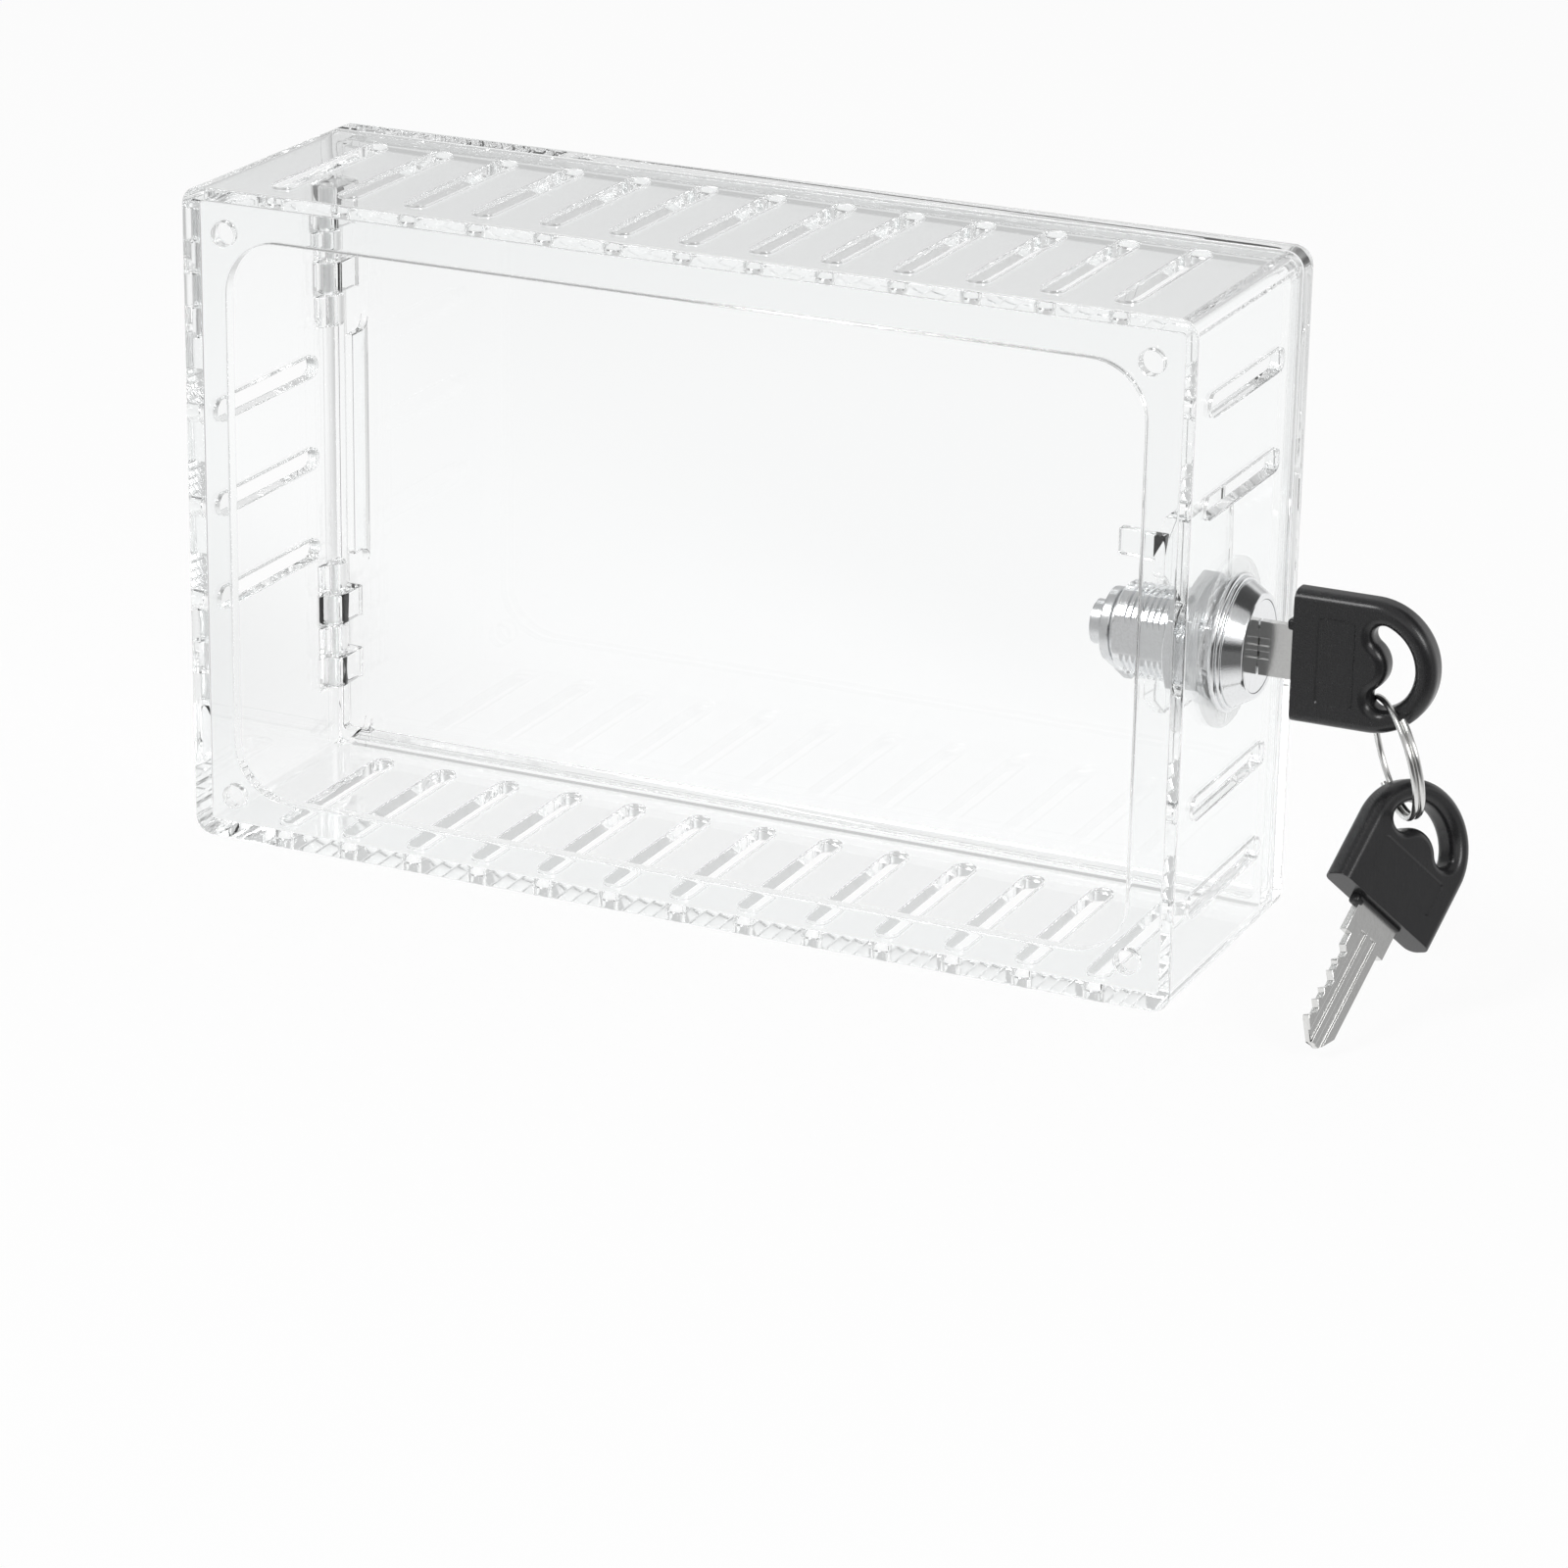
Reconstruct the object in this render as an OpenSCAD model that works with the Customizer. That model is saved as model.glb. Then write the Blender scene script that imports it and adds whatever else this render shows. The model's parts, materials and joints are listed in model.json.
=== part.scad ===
// Clear lock box that covers a wall thermostat.
// A deep clear housing screws to the wall through its rear flange. A shallow clear door
// swings on two pin hinges and is held shut by a keyed cam lock in the side wall.
// Frame: origin at the middle of the four wall-screw holes, on the wall face.
// +Z is up, +Y points into the wall, and the door faces -Y. The lock is at -X, the hinges at +X.

/* [Box] */
// Width of the box
box_w = 220; // [200:1:280]
// Height of the box
box_h = 140; // [130:1:200]
// Depth of the closed box, from the wall to the outside of the door
box_d = 64; // [60:1:110]
// Thickness of the side walls
wall_t = 3; // [2.5:0.1:4]
// Thickness of the rear flange
flange_t = 3; // [2:0.1:5]
// Corner radius of the outline
corner_r = 4; // [2:0.5:5]

/* [Rear window and screw holes] */
// Width of the flange beside the rear window
window_side = 10; // [8.5:0.5:14]
// Width of the flange above and below the rear window
window_end = 10; // [8.5:0.5:14]
// Corner radius of the rear window
window_r = 11.5; // [10:0.5:20]
// Diameter of a wall-screw hole
screw_hole_d = 5; // [4:0.1:5.5]
// Distance from the side of the box to a screw hole
screw_inset = 9.3; // [8.5:0.1:10]

/* [Vent slots] */
// Width of a vent slot
slot_w = 4.5; // [3:0.5:6]
// Distance between vent slots along the top and bottom
slot_pitch = 15.3; // [12:0.1:20]
// Distance between vent slots up the sides
side_slot_pitch = 20.4; // [17:0.1:21]
// Distance from the wall to the top and bottom slots
slot_rear = 7.8; // [6:0.1:12]
// Distance from the wall to the side slots
side_slot_rear = 9; // [6:0.1:12]

/* [Door] */
// Height of the door's rim, which sets the seam
rim_d = 6; // [5:0.5:8]
// Thickness of the door's plate
door_t = 3; // [2.5:0.1:4]
// How far the locating lip reaches into the housing
lip_d = 3.8; // [3:0.1:4.2]
// Thickness of the locating lip
lip_t = 1.8; // [1.2:0.1:2.5]
// Gap at the seam
seam_gap = 0.2; // [0.1:0.05:0.4]
// Gap between the lip and the side walls
lip_gap = 0.3; // [0.2:0.05:0.6]

/* [Hinges] */
// Radius of a hinge knuckle
knuckle_r = 3.2; // [2.8:0.1:3.6]
// Distance from the seam back to the hinge axis
hinge_back = 4.3; // [4.3:0.1:6]
// Distance from the top of the box to the upper hinge
hinge_top = 13.1; // [11.5:0.1:17]
// Distance from the bottom of the box to the lower hinge
hinge_bottom = 16.9; // [11.5:0.1:17]
// Length of one knuckle with its gap
knuckle_pitch = 7.1; // [6:0.1:8]
// Knuckles in one hinge
knuckle_count = 4; // [2:2:4]
// Gap between neighbouring knuckles
knuckle_gap = 0.3; // [0.2:0.05:0.5]
// Diameter of a hinge pin
pin_d = 2.5; // [2:0.1:3]
// Running clearance on radius round a pin in the door's knuckles
pin_clear = 0.06; // [0.03:0.01:0.1]

/* [Lock] */
// Distance from the wall to the lock's axis
lock_depth = 24; // [22:0.5:30]
// Diameter of the lock's threaded barrel
barrel_d = 18.8; // [18:0.1:19.5]
// Distance across the barrel's flats
barrel_flat = 16.4; // [15:0.1:17.5]
// Length of the barrel, from the outside of the wall to its inner end
barrel_len = 21; // [20:0.5:26]
// Diameter of the bezel
bezel_d = 27.8; // [25:0.1:32]
// Diameter of the bezel's rim, round the lock's face
bezel_rim_d = 20.8; // [20.2:0.1:22]
// Height of the bezel
bezel_h = 5.9; // [5:0.1:7]
// Diameter of the clear washer under the bezel
washer_d = 34; // [30:0.5:38]
// Thickness of the clear washer
washer_t = 1; // [0.6:0.1:1.5]
// Diameter of the lock's plug
plug_d = 13; // [12:0.1:13.5]
// Running clearance on radius round the plug
plug_clear = 0.05; // [0.03:0.01:0.1]
// Diameter of the lock's face
face_d = 18.5; // [17:0.1:18.6]
// Distance across the lock nut's flats
nut_af = 24; // [22:0.5:27]
// Thickness of the lock nut
nut_t = 5; // [3:0.5:6]
// Side of the square tail that drives the cam
tail_w = 7.6; // [6:0.1:8]
// Thickness of the cam
cam_t = 2; // [1.5:0.1:2.5]
// How far the cam's hook reaches from the lock's axis
cam_reach = 18; // [17:0.5:20]
// How far the hook is set off from the lock's axis
cam_offset = 8; // [8:0.5:9]
// Width of the cam's hook
cam_w = 5.5; // [4:0.5:7]
// Wafers in the plug
wafer_count = 5; // [3:1:6]

/* [Latch] */
// Height of the door's latch plate
latch_h = 40; // [36:1:46]
// Thickness of the latch plate
latch_t = 2.6; // [2:0.1:3.5]
// Distance from the outside of the side wall to the outer face of the latch plate
latch_inset = 15.2; // [14.5:0.1:15.6]
// Thickness of the latch's catch
catch_t = 2.5; // [2:0.1:3]
// Gap between the turned cam and the catch
catch_gap = 0.5; // [0.3:0.1:1]

/* [Keys] */
// Width of a key's head
head_w = 27; // [25:0.5:30]
// Length of a key's head
head_l = 29; // [28:0.5:34]
// Thickness of a key's head
head_t = 6.6; // [5:0.2:7.4]
// Width of the rim round the hole in a key's head
head_rim = 4.5; // [4:0.1:4.8]
// Thickness of a key's blade
blade_t = 2; // [1.6:0.1:2.2]
// Width of a key's blade
blade_w = 8; // [7:0.1:8.5]
// Width of the blade's neck beside the head
neck_w = 11; // [10:0.5:12]
// Length of the blade's neck
neck_l = 7.4; // [6:0.1:10]
// Length of the blade past its neck
blade_l = 23; // [18:0.1:23]
// Clearance round the blade in the keyway
keyway_clear = 0.15; // [0.1:0.05:0.3]

/* [Key ring] */
// Diameter of the split ring, at the middle of its wire
ring_d = 24.4; // [22:0.1:26]
// Diameter of the ring's wire
ring_wire = 1.3; // [1:0.1:1.5]
// Turn of the ring's plane from the side of the box
ring_yaw = -51.4; // [-60:0.1:-45]
// Lean of the hanging ring
ring_lean = 12; // [0:1:15]
// Turn of the spare key about the vertical
spare_yaw = 62; // [55:1:68]
// Backward tilt of the spare key
spare_tilt = 19; // [12:1:24]
// Sideways lean of the spare key
spare_lean = 47; // [40:1:52]

/* [Hidden] */
$fn = 64;

// A small overlap that makes a cut pass clean through or joins two shapes of one piece
eps = 0.1;
// How far the shape of a longer cut stands past what it cuts
past = 1;
// Gap between parts that turn past each other
turn_gap = 0.1;

// Box
seam_y = -(box_d - rim_d);
plate_y = -(box_d - door_t);
inner_w = box_w - 2 * wall_t;
inner_h = box_h - 2 * wall_t;
least_r = 0.8;
inner_r = max(corner_r - wall_t, least_r);
window_w = box_w - 2 * window_side;
window_h = box_h - 2 * window_end;
screw_x = box_w / 2 - screw_inset;
screw_z = box_h / 2 - screw_inset;

// Vent slots
slot_end_margin = 16;
slot_count = 2 * floor((box_w / 2 - slot_end_margin) / slot_pitch) + 1;
slot_front_margin = 7.3;
slot_l = -seam_y - slot_rear - slot_front_margin;
side_slot_short = 1.5;
side_slot_l = -seam_y - side_slot_rear - slot_front_margin - side_slot_short;
side_slot_top = floor((box_h / 2 - slot_end_margin) / side_slot_pitch * 2) / 2;

// Hinges
knuckle_inset = 0.1;
hinge_x = box_w / 2 - knuckle_r - knuckle_inset;
hinge_y = seam_y + hinge_back;
hinge_len = knuckle_count * knuckle_pitch;
// Height of the inner end of a hinge above or below the middle
function hinge_start(side) = box_h / 2 - (side > 0 ? hinge_top : hinge_bottom) - hinge_len;
// Slots in the hinge-side wall between its middle and a hinge
slot_hinge_margin = 1;
function slots_to_hinge(side) =
    floor((hinge_start(side) - slot_w / 2 - slot_hinge_margin) / side_slot_pitch);
// Radius swept by the outer edge of the door's knuckles where it passes the wall, whose seam
// keeps clear of the last of it
sweep_trim = 0.2;
sweep_r = sqrt(pow(knuckle_r, 2) + pow(hinge_back, 2)) - sweep_trim;
hinge_lip_gap = 0.3;
lip_hinge_x = hinge_x - knuckle_r - hinge_lip_gap;
pin_seat_clear = 0.01;
pin_short = 0.2;
// Web that joins a knuckle to the housing's wall
web_start = 1;
web_run = 6;
web_sunk = 1;
lip_left = -(inner_w / 2 - lip_gap);

// Lock, along its own axis: u is the distance outside the side wall
lock_x = -box_w / 2;
bezel_u = washer_t + bezel_h;
face_recess = 0.2;
cap_t = 0.4;
plug_head_t = 0.9;
face_u = bezel_u - face_recess;
plug_head_u = face_u - cap_t - plug_head_t;
bore_r = plug_d / 2 + plug_clear;
stop_h = 0.9;
stop_ring_bore_r = 7.4;
stop_ring_gap = 0.3;
stop_washer_t = 1;
stop_u = -barrel_len - turn_gap;
cam_u = stop_u - stop_washer_t;
spring_washer_t = 0.8;
cam_end_u = cam_u - cam_t;
screw_head_t = 2.4;
screw_head_d = 9;
screw_d = 5;
tap_drill_d = screw_d - 1;
tap_depth = 6;
tooth_washer_t = 0.8;
thread_pitch = 1.25;
thread_depth = 0.5;
// Clearances of the hole in the wall, on radius and across the flats
lock_hole_clear = 0.2;
lock_flat_clear = 0.3;
// Clearances on the diameter of the barrel
bezel_washer_clear = 0.2;
nut_clear = 0.1;
// Clearance of the square tail in what it drives, at each side
tail_clear = 0.01;
// The tail stops short of the cam's face, so that the screw clamps the cam
tail_short = 0.2;
wafer_t = 0.9;
wafer_w = 6;
wafer_h = plug_d - 0.6;
wafer_pitch = 3.2;
wafer_gap = 0.1;
wafer_first = 1;
spring_pocket_d = 1.6;
spring_pocket_wall = 0.2;
spring_gap = 0.1;
spring_l = 3;
spring_x = 2.4;
spring_y = wafer_w / 2 + spring_pocket_d / 2 + spring_pocket_wall;
// Place of each wafer along the lock's axis
function wafer_u(i) = -wafer_first - i * wafer_pitch;

// Key, along its own axis from the head's straight edge towards the tip
key_u = bezel_u + neck_l;
key_len = neck_l + blade_l;
root_l = 4.6;
collar_h = 1.3;
seat_clear = 0.02;
head_chamfer = 1.5;
head_round = head_w / 2;
hole_r = head_round - head_rim;
hole_centre = -(head_l - head_round);
bump_r = 5.5;
// How far the hole's flat side lies past the middle of the head's round end
hole_flat = 1;
key_tip_u = key_u - key_len;
keyway_past = 1;
keyway_end_u = key_tip_u - keyway_past;
keyway_t = blade_t + 2 * keyway_clear;
keyway_w = blade_w + 2 * keyway_clear;

// Latch
latch_x = lock_x + latch_inset;
catch_front = lock_depth + cam_offset - catch_gap;
catch_rear = catch_front - catch_t;
catch_low = 12.5;
catch_past = 1.4;
notch_clear = 1.6;
notch_r = barrel_d / 2 + notch_clear;

// Ring: the wire lies in the lower end of the head's hole
ring_seat = 1.7;
ring_seat_angle = 25.6;
ring_top_u = key_u - hole_centre + (hole_r - ring_seat) * sin(ring_seat_angle);
ring_top = [lock_x - ring_top_u, -lock_depth, -(hole_r - ring_seat) * cos(ring_seat_angle)];
ring_drop = ring_d * cos(ring_lean);
ring_side = ring_d * sin(ring_lean);
ring_bottom = ring_top + [ring_side * sin(ring_yaw), -ring_side * cos(ring_yaw), -ring_drop];
// The spare key's hole hangs from the ring's lowest point
spare_seat = 2.1;
spare_up = [
    sin(spare_yaw) * sin(spare_tilt),
    -cos(spare_yaw) * sin(spare_tilt),
    cos(spare_tilt)
];
spare_hole = ring_bottom - (hole_r - spare_seat) * spare_up;

// Rectangle with round corners, centred
module round_rect(w, h, r) {
    square([w - 2 * r, h], center = true);
    square([w, h - 2 * r], center = true);
    for (x = [-1, 1], y = [-1, 1]) {
        translate([x * (w / 2 - r), y * (h / 2 - r)]) circle(r);
    }
}

// Slot with round ends from the origin along its first axis
module slot_shape(l, w) {
    translate([w / 2, 0]) circle(w / 2, $fn = 32);
    translate([l - w / 2, 0]) circle(w / 2, $fn = 32);
    translate([w / 2, -w / 2]) square([l - w, w]);
}

// Extrudes a shape drawn in X and Z from depth y towards the door
module from_wall(y, depth) {
    translate([0, y, 0]) rotate([90, 0, 0]) linear_extrude(depth) children();
}

// Places what is drawn round the lock's axis: z runs out of the side wall, x runs up
module lock_frame() {
    translate([lock_x, -lock_depth, 0]) rotate([0, -90, 0]) children();
}

// Places a key in the lock, its tip inwards
module in_lock() {
    lock_frame() translate([0, 0, key_u]) rotate([0, 180, 0]) children();
}

// Places the spare key where it hangs from the ring
module on_ring() {
    translate(spare_hole) rotate([0, 0, spare_yaw]) rotate([spare_tilt, 0, 0])
        rotate([0, 180 - spare_lean, 0]) translate([0, 0, -hole_centre]) children();
}

// Where a knuckle starts, counted from the middle of the box outwards
function knuckle_z(i, side) = hinge_start(side) + i * knuckle_pitch;

// One knuckle's cylinder, at either end of the box
module knuckle_column(i, r, grow, side) {
    z0 = knuckle_z(i, side) - grow;
    h = knuckle_pitch - knuckle_gap + 2 * grow;
    translate([hinge_x, hinge_y, side > 0 ? z0 : -z0 - h]) cylinder(r = r, h = h);
}

module top_slots() {
    for (i = [0 : slot_count - 1]) {
        x = (i - (slot_count - 1) / 2) * slot_pitch;
        translate([x, -slot_rear, -box_h / 2 - eps])
            linear_extrude(box_h + 2 * eps) rotate(-90) slot_shape(slot_l, slot_w);
    }
}

module side_slot(x, z) {
    translate([x, -side_slot_rear, z]) rotate([90, 0, 90])
        linear_extrude(wall_t + 2 * eps) rotate(180) slot_shape(side_slot_l, slot_w);
}

module side_slots() {
    // The lock takes the middle of its wall, and the hinges take the ends of theirs
    for (n = [1.5 : 1 : side_slot_top], s = [-1, 1]) {
        side_slot(-box_w / 2 - eps, s * n * side_slot_pitch);
    }
    for (n = [-slots_to_hinge(-1) : slots_to_hinge(1)]) {
        side_slot(box_w / 2 - wall_t - eps, n * side_slot_pitch);
    }
}

module lock_hole() {
    lock_frame() translate([0, 0, -wall_t - eps]) linear_extrude(wall_t + 2 * eps) intersection() {
        circle(barrel_d / 2 + lock_hole_clear);
        square([barrel_d + 2 * past, barrel_flat + lock_flat_clear], center = true);
    }
}

// What the hinge side of the housing gives up so that the door's edge can turn
module hinge_side_relief() {
    difference() {
        translate([hinge_x, seam_y - eps, -box_h / 2 - eps])
            cube([knuckle_r + past, hinge_back + eps, box_h + 2 * eps]);
        translate([hinge_x, hinge_y, -box_h / 2 - past]) cylinder(r = knuckle_r, h = box_h + 2 * past);
    }
}

// Knuckle moulded on the end of the hinge-side wall
module housing_knuckle(i, side) {
    h = knuckle_pitch - knuckle_gap;
    z0 = side > 0 ? knuckle_z(i, side) : -knuckle_z(i, side) - h;
    knuckle_column(i, knuckle_r, 0, side);
    translate([0, 0, z0]) linear_extrude(h) polygon([
        [hinge_x - knuckle_r, hinge_y],
        [hinge_x - knuckle_r, hinge_y + web_start],
        [inner_w / 2, hinge_y + web_run],
        [inner_w / 2 + web_sunk, hinge_y + web_run],
        [inner_w / 2 + web_sunk, hinge_y]
    ]);
}

module housing() {
    color("#eef3f5") difference() {
        union() {
            difference() {
                from_wall(0, -seam_y) round_rect(box_w, box_h, corner_r);
                from_wall(-flange_t, -seam_y) round_rect(inner_w, inner_h, inner_r);
                hinge_side_relief();
                for (i = [1 : 2 : knuckle_count - 1], side = [-1, 1]) {
                    knuckle_column(i, sweep_r, knuckle_gap, side);
                }
            }
            for (i = [0 : 2 : knuckle_count - 1], side = [-1, 1]) housing_knuckle(i, side);
        }
        from_wall(eps, flange_t + 2 * eps) round_rect(window_w, window_h, window_r);
        for (x = [-1, 1], z = [-1, 1]) {
            translate([x * screw_x, eps, z * screw_z]) rotate([90, 0, 0])
                cylinder(d = screw_hole_d, h = flange_t + 2 * eps);
        }
        top_slots();
        side_slots();
        lock_hole();
        for (i = [0 : 2 : knuckle_count - 1], side = [-1, 1]) {
            knuckle_column(i, pin_d / 2 + pin_seat_clear, eps, side);
        }
    }
}

// Outline of the lip, moved in by inset on every side
module lip_outline(inset) {
    x0 = lip_left + inset;
    x1 = lip_hinge_x - inset;
    translate([(x0 + x1) / 2, 0])
        round_rect(x1 - x0, inner_h - 2 * lip_gap - 2 * inset, inner_r);
}

// The lip, cut away with round corners in front of each hinge
module locating_lip() {
    cut_r = 3;
    cut_margin = 2;
    cut_x = lip_hinge_x - lip_t - cut_margin;
    difference() {
        from_wall(seam_y + lip_d, lip_d + rim_d - door_t + eps) difference() {
            lip_outline(0);
            lip_outline(lip_t);
        }
        for (side = [-1, 1]) {
            z0 = hinge_start(side) - cut_margin;
            z1 = inner_h / 2 - lip_gap - lip_t;
            translate([cut_x, 0, side * (z0 + z1) / 2]) rotate([90, 0, 90])
                linear_extrude(lip_t + 2 * cut_margin) translate([seam_y + lip_d, 0])
                    round_rect(2 * (lip_d + rim_d - door_t), z1 - z0, cut_r);
        }
    }
}

// Web and barrel of one of the door's knuckles
module door_knuckle(i, side) {
    h = knuckle_pitch - knuckle_gap;
    z0 = side > 0 ? knuckle_z(i, side) : -knuckle_z(i, side) - h;
    knuckle_column(i, knuckle_r, 0, side);
    translate([hinge_x - knuckle_r, plate_y - eps, z0])
        cube([2 * knuckle_r, hinge_y - plate_y + eps, h]);
}

// Plate behind the lock whose catch the turned cam holds
module latch() {
    leg_upper = catch_rear;
    leg_lower = lock_depth + 3;
    chamfer_h = 4.5;
    chamfer_y = 6;
    top = latch_h / 2;
    difference() {
        translate([latch_x, 0, 0]) rotate([90, 0, 90]) linear_extrude(latch_t) polygon([
            [plate_y - eps, top],
            [-(leg_upper + chamfer_y), top],
            [-leg_upper, top - chamfer_h],
            [-leg_upper, 0],
            [-leg_lower, 0],
            [-leg_lower, -top + chamfer_h],
            [-(leg_lower + chamfer_y), -top],
            [plate_y - eps, -top]
        ]);
        translate([latch_x - eps, -lock_depth, 0]) rotate([0, 90, 0])
            cylinder(r = notch_r, h = latch_t + 2 * eps);
    }
    // The catch crosses the plane in which the cam turns
    translate([latch_x, -catch_front, catch_low])
        cube([lock_x - cam_end_u + catch_past - latch_x, catch_t, cam_reach - catch_low]);
}

module door() {
    color("#f4f8fa") difference() {
        union() {
            from_wall(plate_y, door_t) round_rect(box_w, box_h, corner_r);
            from_wall(seam_y - seam_gap, rim_d - seam_gap - door_t + eps) difference() {
                round_rect(box_w, box_h, corner_r);
                x0 = lip_left + lip_t;
                x1 = inner_w / 2;
                translate([(x0 + x1) / 2, 0])
                    round_rect(x1 - x0, inner_h - 2 * lip_gap - 2 * lip_t, inner_r);
            }
            locating_lip();
            for (i = [1 : 2 : knuckle_count - 1], side = [-1, 1]) door_knuckle(i, side);
            latch();
        }
        for (i = [1 : 2 : knuckle_count - 1], side = [-1, 1]) {
            knuckle_column(i, pin_d / 2 + pin_clear, eps, side);
        }
    }
}

module hinge_pin(side) {
    z0 = hinge_start(side) + pin_short;
    h = hinge_len - knuckle_gap - 2 * pin_short;
    color("silver") translate([hinge_x, hinge_y, side > 0 ? z0 : -z0 - h])
        cylinder(d = pin_d, h = h, $fn = 32);
}

module upper_hinge_pin() hinge_pin(1);

module lower_hinge_pin() hinge_pin(-1);

module bezel_washer() {
    color("#dfe6e8") lock_frame() difference() {
        cylinder(d = washer_d, h = washer_t);
        translate([0, 0, -eps]) cylinder(d = barrel_d + bezel_washer_clear, h = washer_t + 2 * eps);
    }
}

// Outline of the threaded barrel: radius and height up the lock's axis
module barrel_profile() {
    count = floor((barrel_len + washer_t) / thread_pitch);
    crest_shift = 0.1;
    r = barrel_d / 2;
    polygon(concat(
        [[0, washer_t], [r, washer_t]],
        [for (i = [0 : count - 1], k = [0, 1])
            [k == 0 ? r : r - thread_depth, washer_t + crest_shift - (i + (k + 1) / 2) * thread_pitch]],
        [[r - thread_depth, -barrel_len], [0, -barrel_len]]
    ));
}

module bezel_profile() {
    r = bezel_d / 2;
    // Each step of the foot: how far in from the edge, and how high above the washer
    foot = [[0, 0], [0, 1], [0.5, 1.2], [0.5, 1.9], [0.9, 2.2]];
    rim_edge = 0.3;
    polygon(concat(
        [[0, washer_t]],
        [for (f = foot) [r - f[0], washer_t + f[1]]],
        [[bezel_rim_d / 2, bezel_u - rim_edge], [bezel_rim_d / 2 - rim_edge, bezel_u], [0, bezel_u]]
    ));
}

// Half-ring behind the barrel that stops the washer's ear after a quarter turn
module stop_ring() {
    ear_half = 12;
    inset = 0.2;
    outer = barrel_d / 2 - thread_depth - inset;
    reach = barrel_d;
    difference() {
        translate([0, 0, -barrel_len - stop_h]) cylinder(r = outer, h = stop_h + eps);
        translate([0, 0, -barrel_len - stop_h - eps]) cylinder(r = stop_ring_bore_r, h = stop_h + 3 * eps);
        translate([0, 0, -barrel_len - stop_h - eps]) linear_extrude(stop_h + 2 * eps) polygon([
            [0, 0],
            reach * [cos(180 - ear_half), sin(180 - ear_half)],
            [-reach, -reach],
            reach * [cos(270 + ear_half), sin(270 + ear_half)]
        ]);
    }
}

module lock_body() {
    groove_span = 15.2;
    groove_end = 2;
    color("#c8ccd0") lock_frame() difference() {
        union() {
            rotate_extrude() bezel_profile();
            intersection() {
                union() {
                    rotate_extrude() barrel_profile();
                    stop_ring();
                }
                translate([0, 0, -barrel_len / 2])
                    cube([barrel_d + 2 * past, barrel_flat, barrel_len + 2 * bezel_h], center = true);
            }
        }
        translate([0, 0, -barrel_len - stop_h - past])
            cylinder(r = bore_r, h = barrel_len + stop_h + bezel_u + 2 * past);
        translate([0, 0, plug_head_u - turn_gap])
            cylinder(d = face_d + 2 * turn_gap, h = bezel_u - plug_head_u + past);
        // Grooves that the wafers spring into when the key is out
        translate([0, 0, -barrel_len / 2])
            cube([groove_span, wafer_w + 2 * wafer_gap, barrel_len - 2 * groove_end], center = true);
    }
}

module tooth_washer() {
    teeth = 12;
    notch_l = 2.4;
    notch_w = 1.2;
    color("silver") lock_frame() translate([0, 0, -wall_t - tooth_washer_t]) difference() {
        cylinder(r = nut_af / 2, h = tooth_washer_t);
        translate([0, 0, -eps]) cylinder(d = barrel_d + nut_clear, h = tooth_washer_t + 2 * eps);
        for (i = [0 : teeth - 1]) {
            rotate(i * 360 / teeth) translate([nut_af / 2, 0, tooth_washer_t / 2])
                cube([notch_l, notch_w, tooth_washer_t + 2 * eps], center = true);
        }
    }
}

module lock_nut() {
    u = -wall_t - tooth_washer_t - nut_t;
    // The chamfer at the nut's inner end, on radius and along it
    chamfer_in = 0.3;
    chamfer_h = 1.1;
    corner_out = 1.8;
    color("silver") lock_frame() translate([0, 0, u]) difference() {
        intersection() {
            cylinder(d = nut_af / cos(30), h = nut_t, $fn = 6);
            rotate_extrude() polygon([
                [0, 0], [nut_af / 2 - chamfer_in, 0], [nut_af / 2 + corner_out, chamfer_h],
                [nut_af / 2 + corner_out, nut_t], [0, nut_t]
            ]);
        }
        translate([0, 0, -eps]) cylinder(d = barrel_d + nut_clear, h = nut_t + 2 * eps);
    }
}

module plug() {
    color("#d4d7da") lock_frame() difference() {
        union() {
            translate([0, 0, stop_u]) cylinder(d = plug_d, h = plug_head_u - stop_u + eps);
            translate([0, 0, plug_head_u]) cylinder(d = face_d, h = plug_head_t);
            translate([-tail_w / 2, -tail_w / 2, cam_end_u + tail_short])
                cube([tail_w, tail_w, stop_u - cam_end_u - tail_short + eps]);
        }
        translate([0, 0, (keyway_end_u + face_u) / 2])
            cube([keyway_w, keyway_t, face_u - keyway_end_u + eps], center = true);
        for (i = [0 : wafer_count - 1]) {
            translate([0, 0, wafer_u(i)])
                cube([plug_d + past, wafer_w + wafer_gap, wafer_t + wafer_gap], center = true);
            translate([-spring_x, spring_y, wafer_u(i)])
                cube([spring_l + 2 * spring_gap, spring_pocket_d, spring_pocket_d], center = true);
        }
        translate([0, 0, cam_end_u - eps]) cylinder(d = tap_drill_d, h = tap_depth);
    }
}

module face_cap() {
    color("#dadde0") lock_frame() translate([0, 0, face_u - cap_t]) difference() {
        cylinder(d = face_d, h = cap_t);
        translate([0, 0, cap_t / 2]) cube([keyway_w, keyway_t, cap_t + 2 * eps], center = true);
    }
}

module wafers() {
    window_w = keyway_w + 0.3;
    window_t = keyway_t + 0.2;
    color("goldenrod") lock_frame() for (i = [0 : wafer_count - 1]) {
        translate([0, 0, wafer_u(i)]) difference() {
            intersection() {
                cube([wafer_h, wafer_w, wafer_t], center = true);
                cylinder(d = plug_d - 2 * turn_gap, h = wafer_t, center = true);
            }
            cube([window_w, window_t, wafer_t + eps], center = true);
        }
    }
}

module wafer_springs() {
    color("silver") lock_frame() for (i = [0 : wafer_count - 1]) {
        translate([-spring_x - spring_l / 2, spring_y, wafer_u(i)])
            rotate([0, 90, 0]) cylinder(d = spring_pocket_d - 2 * spring_gap, h = spring_l, $fn = 16);
    }
}

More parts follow.
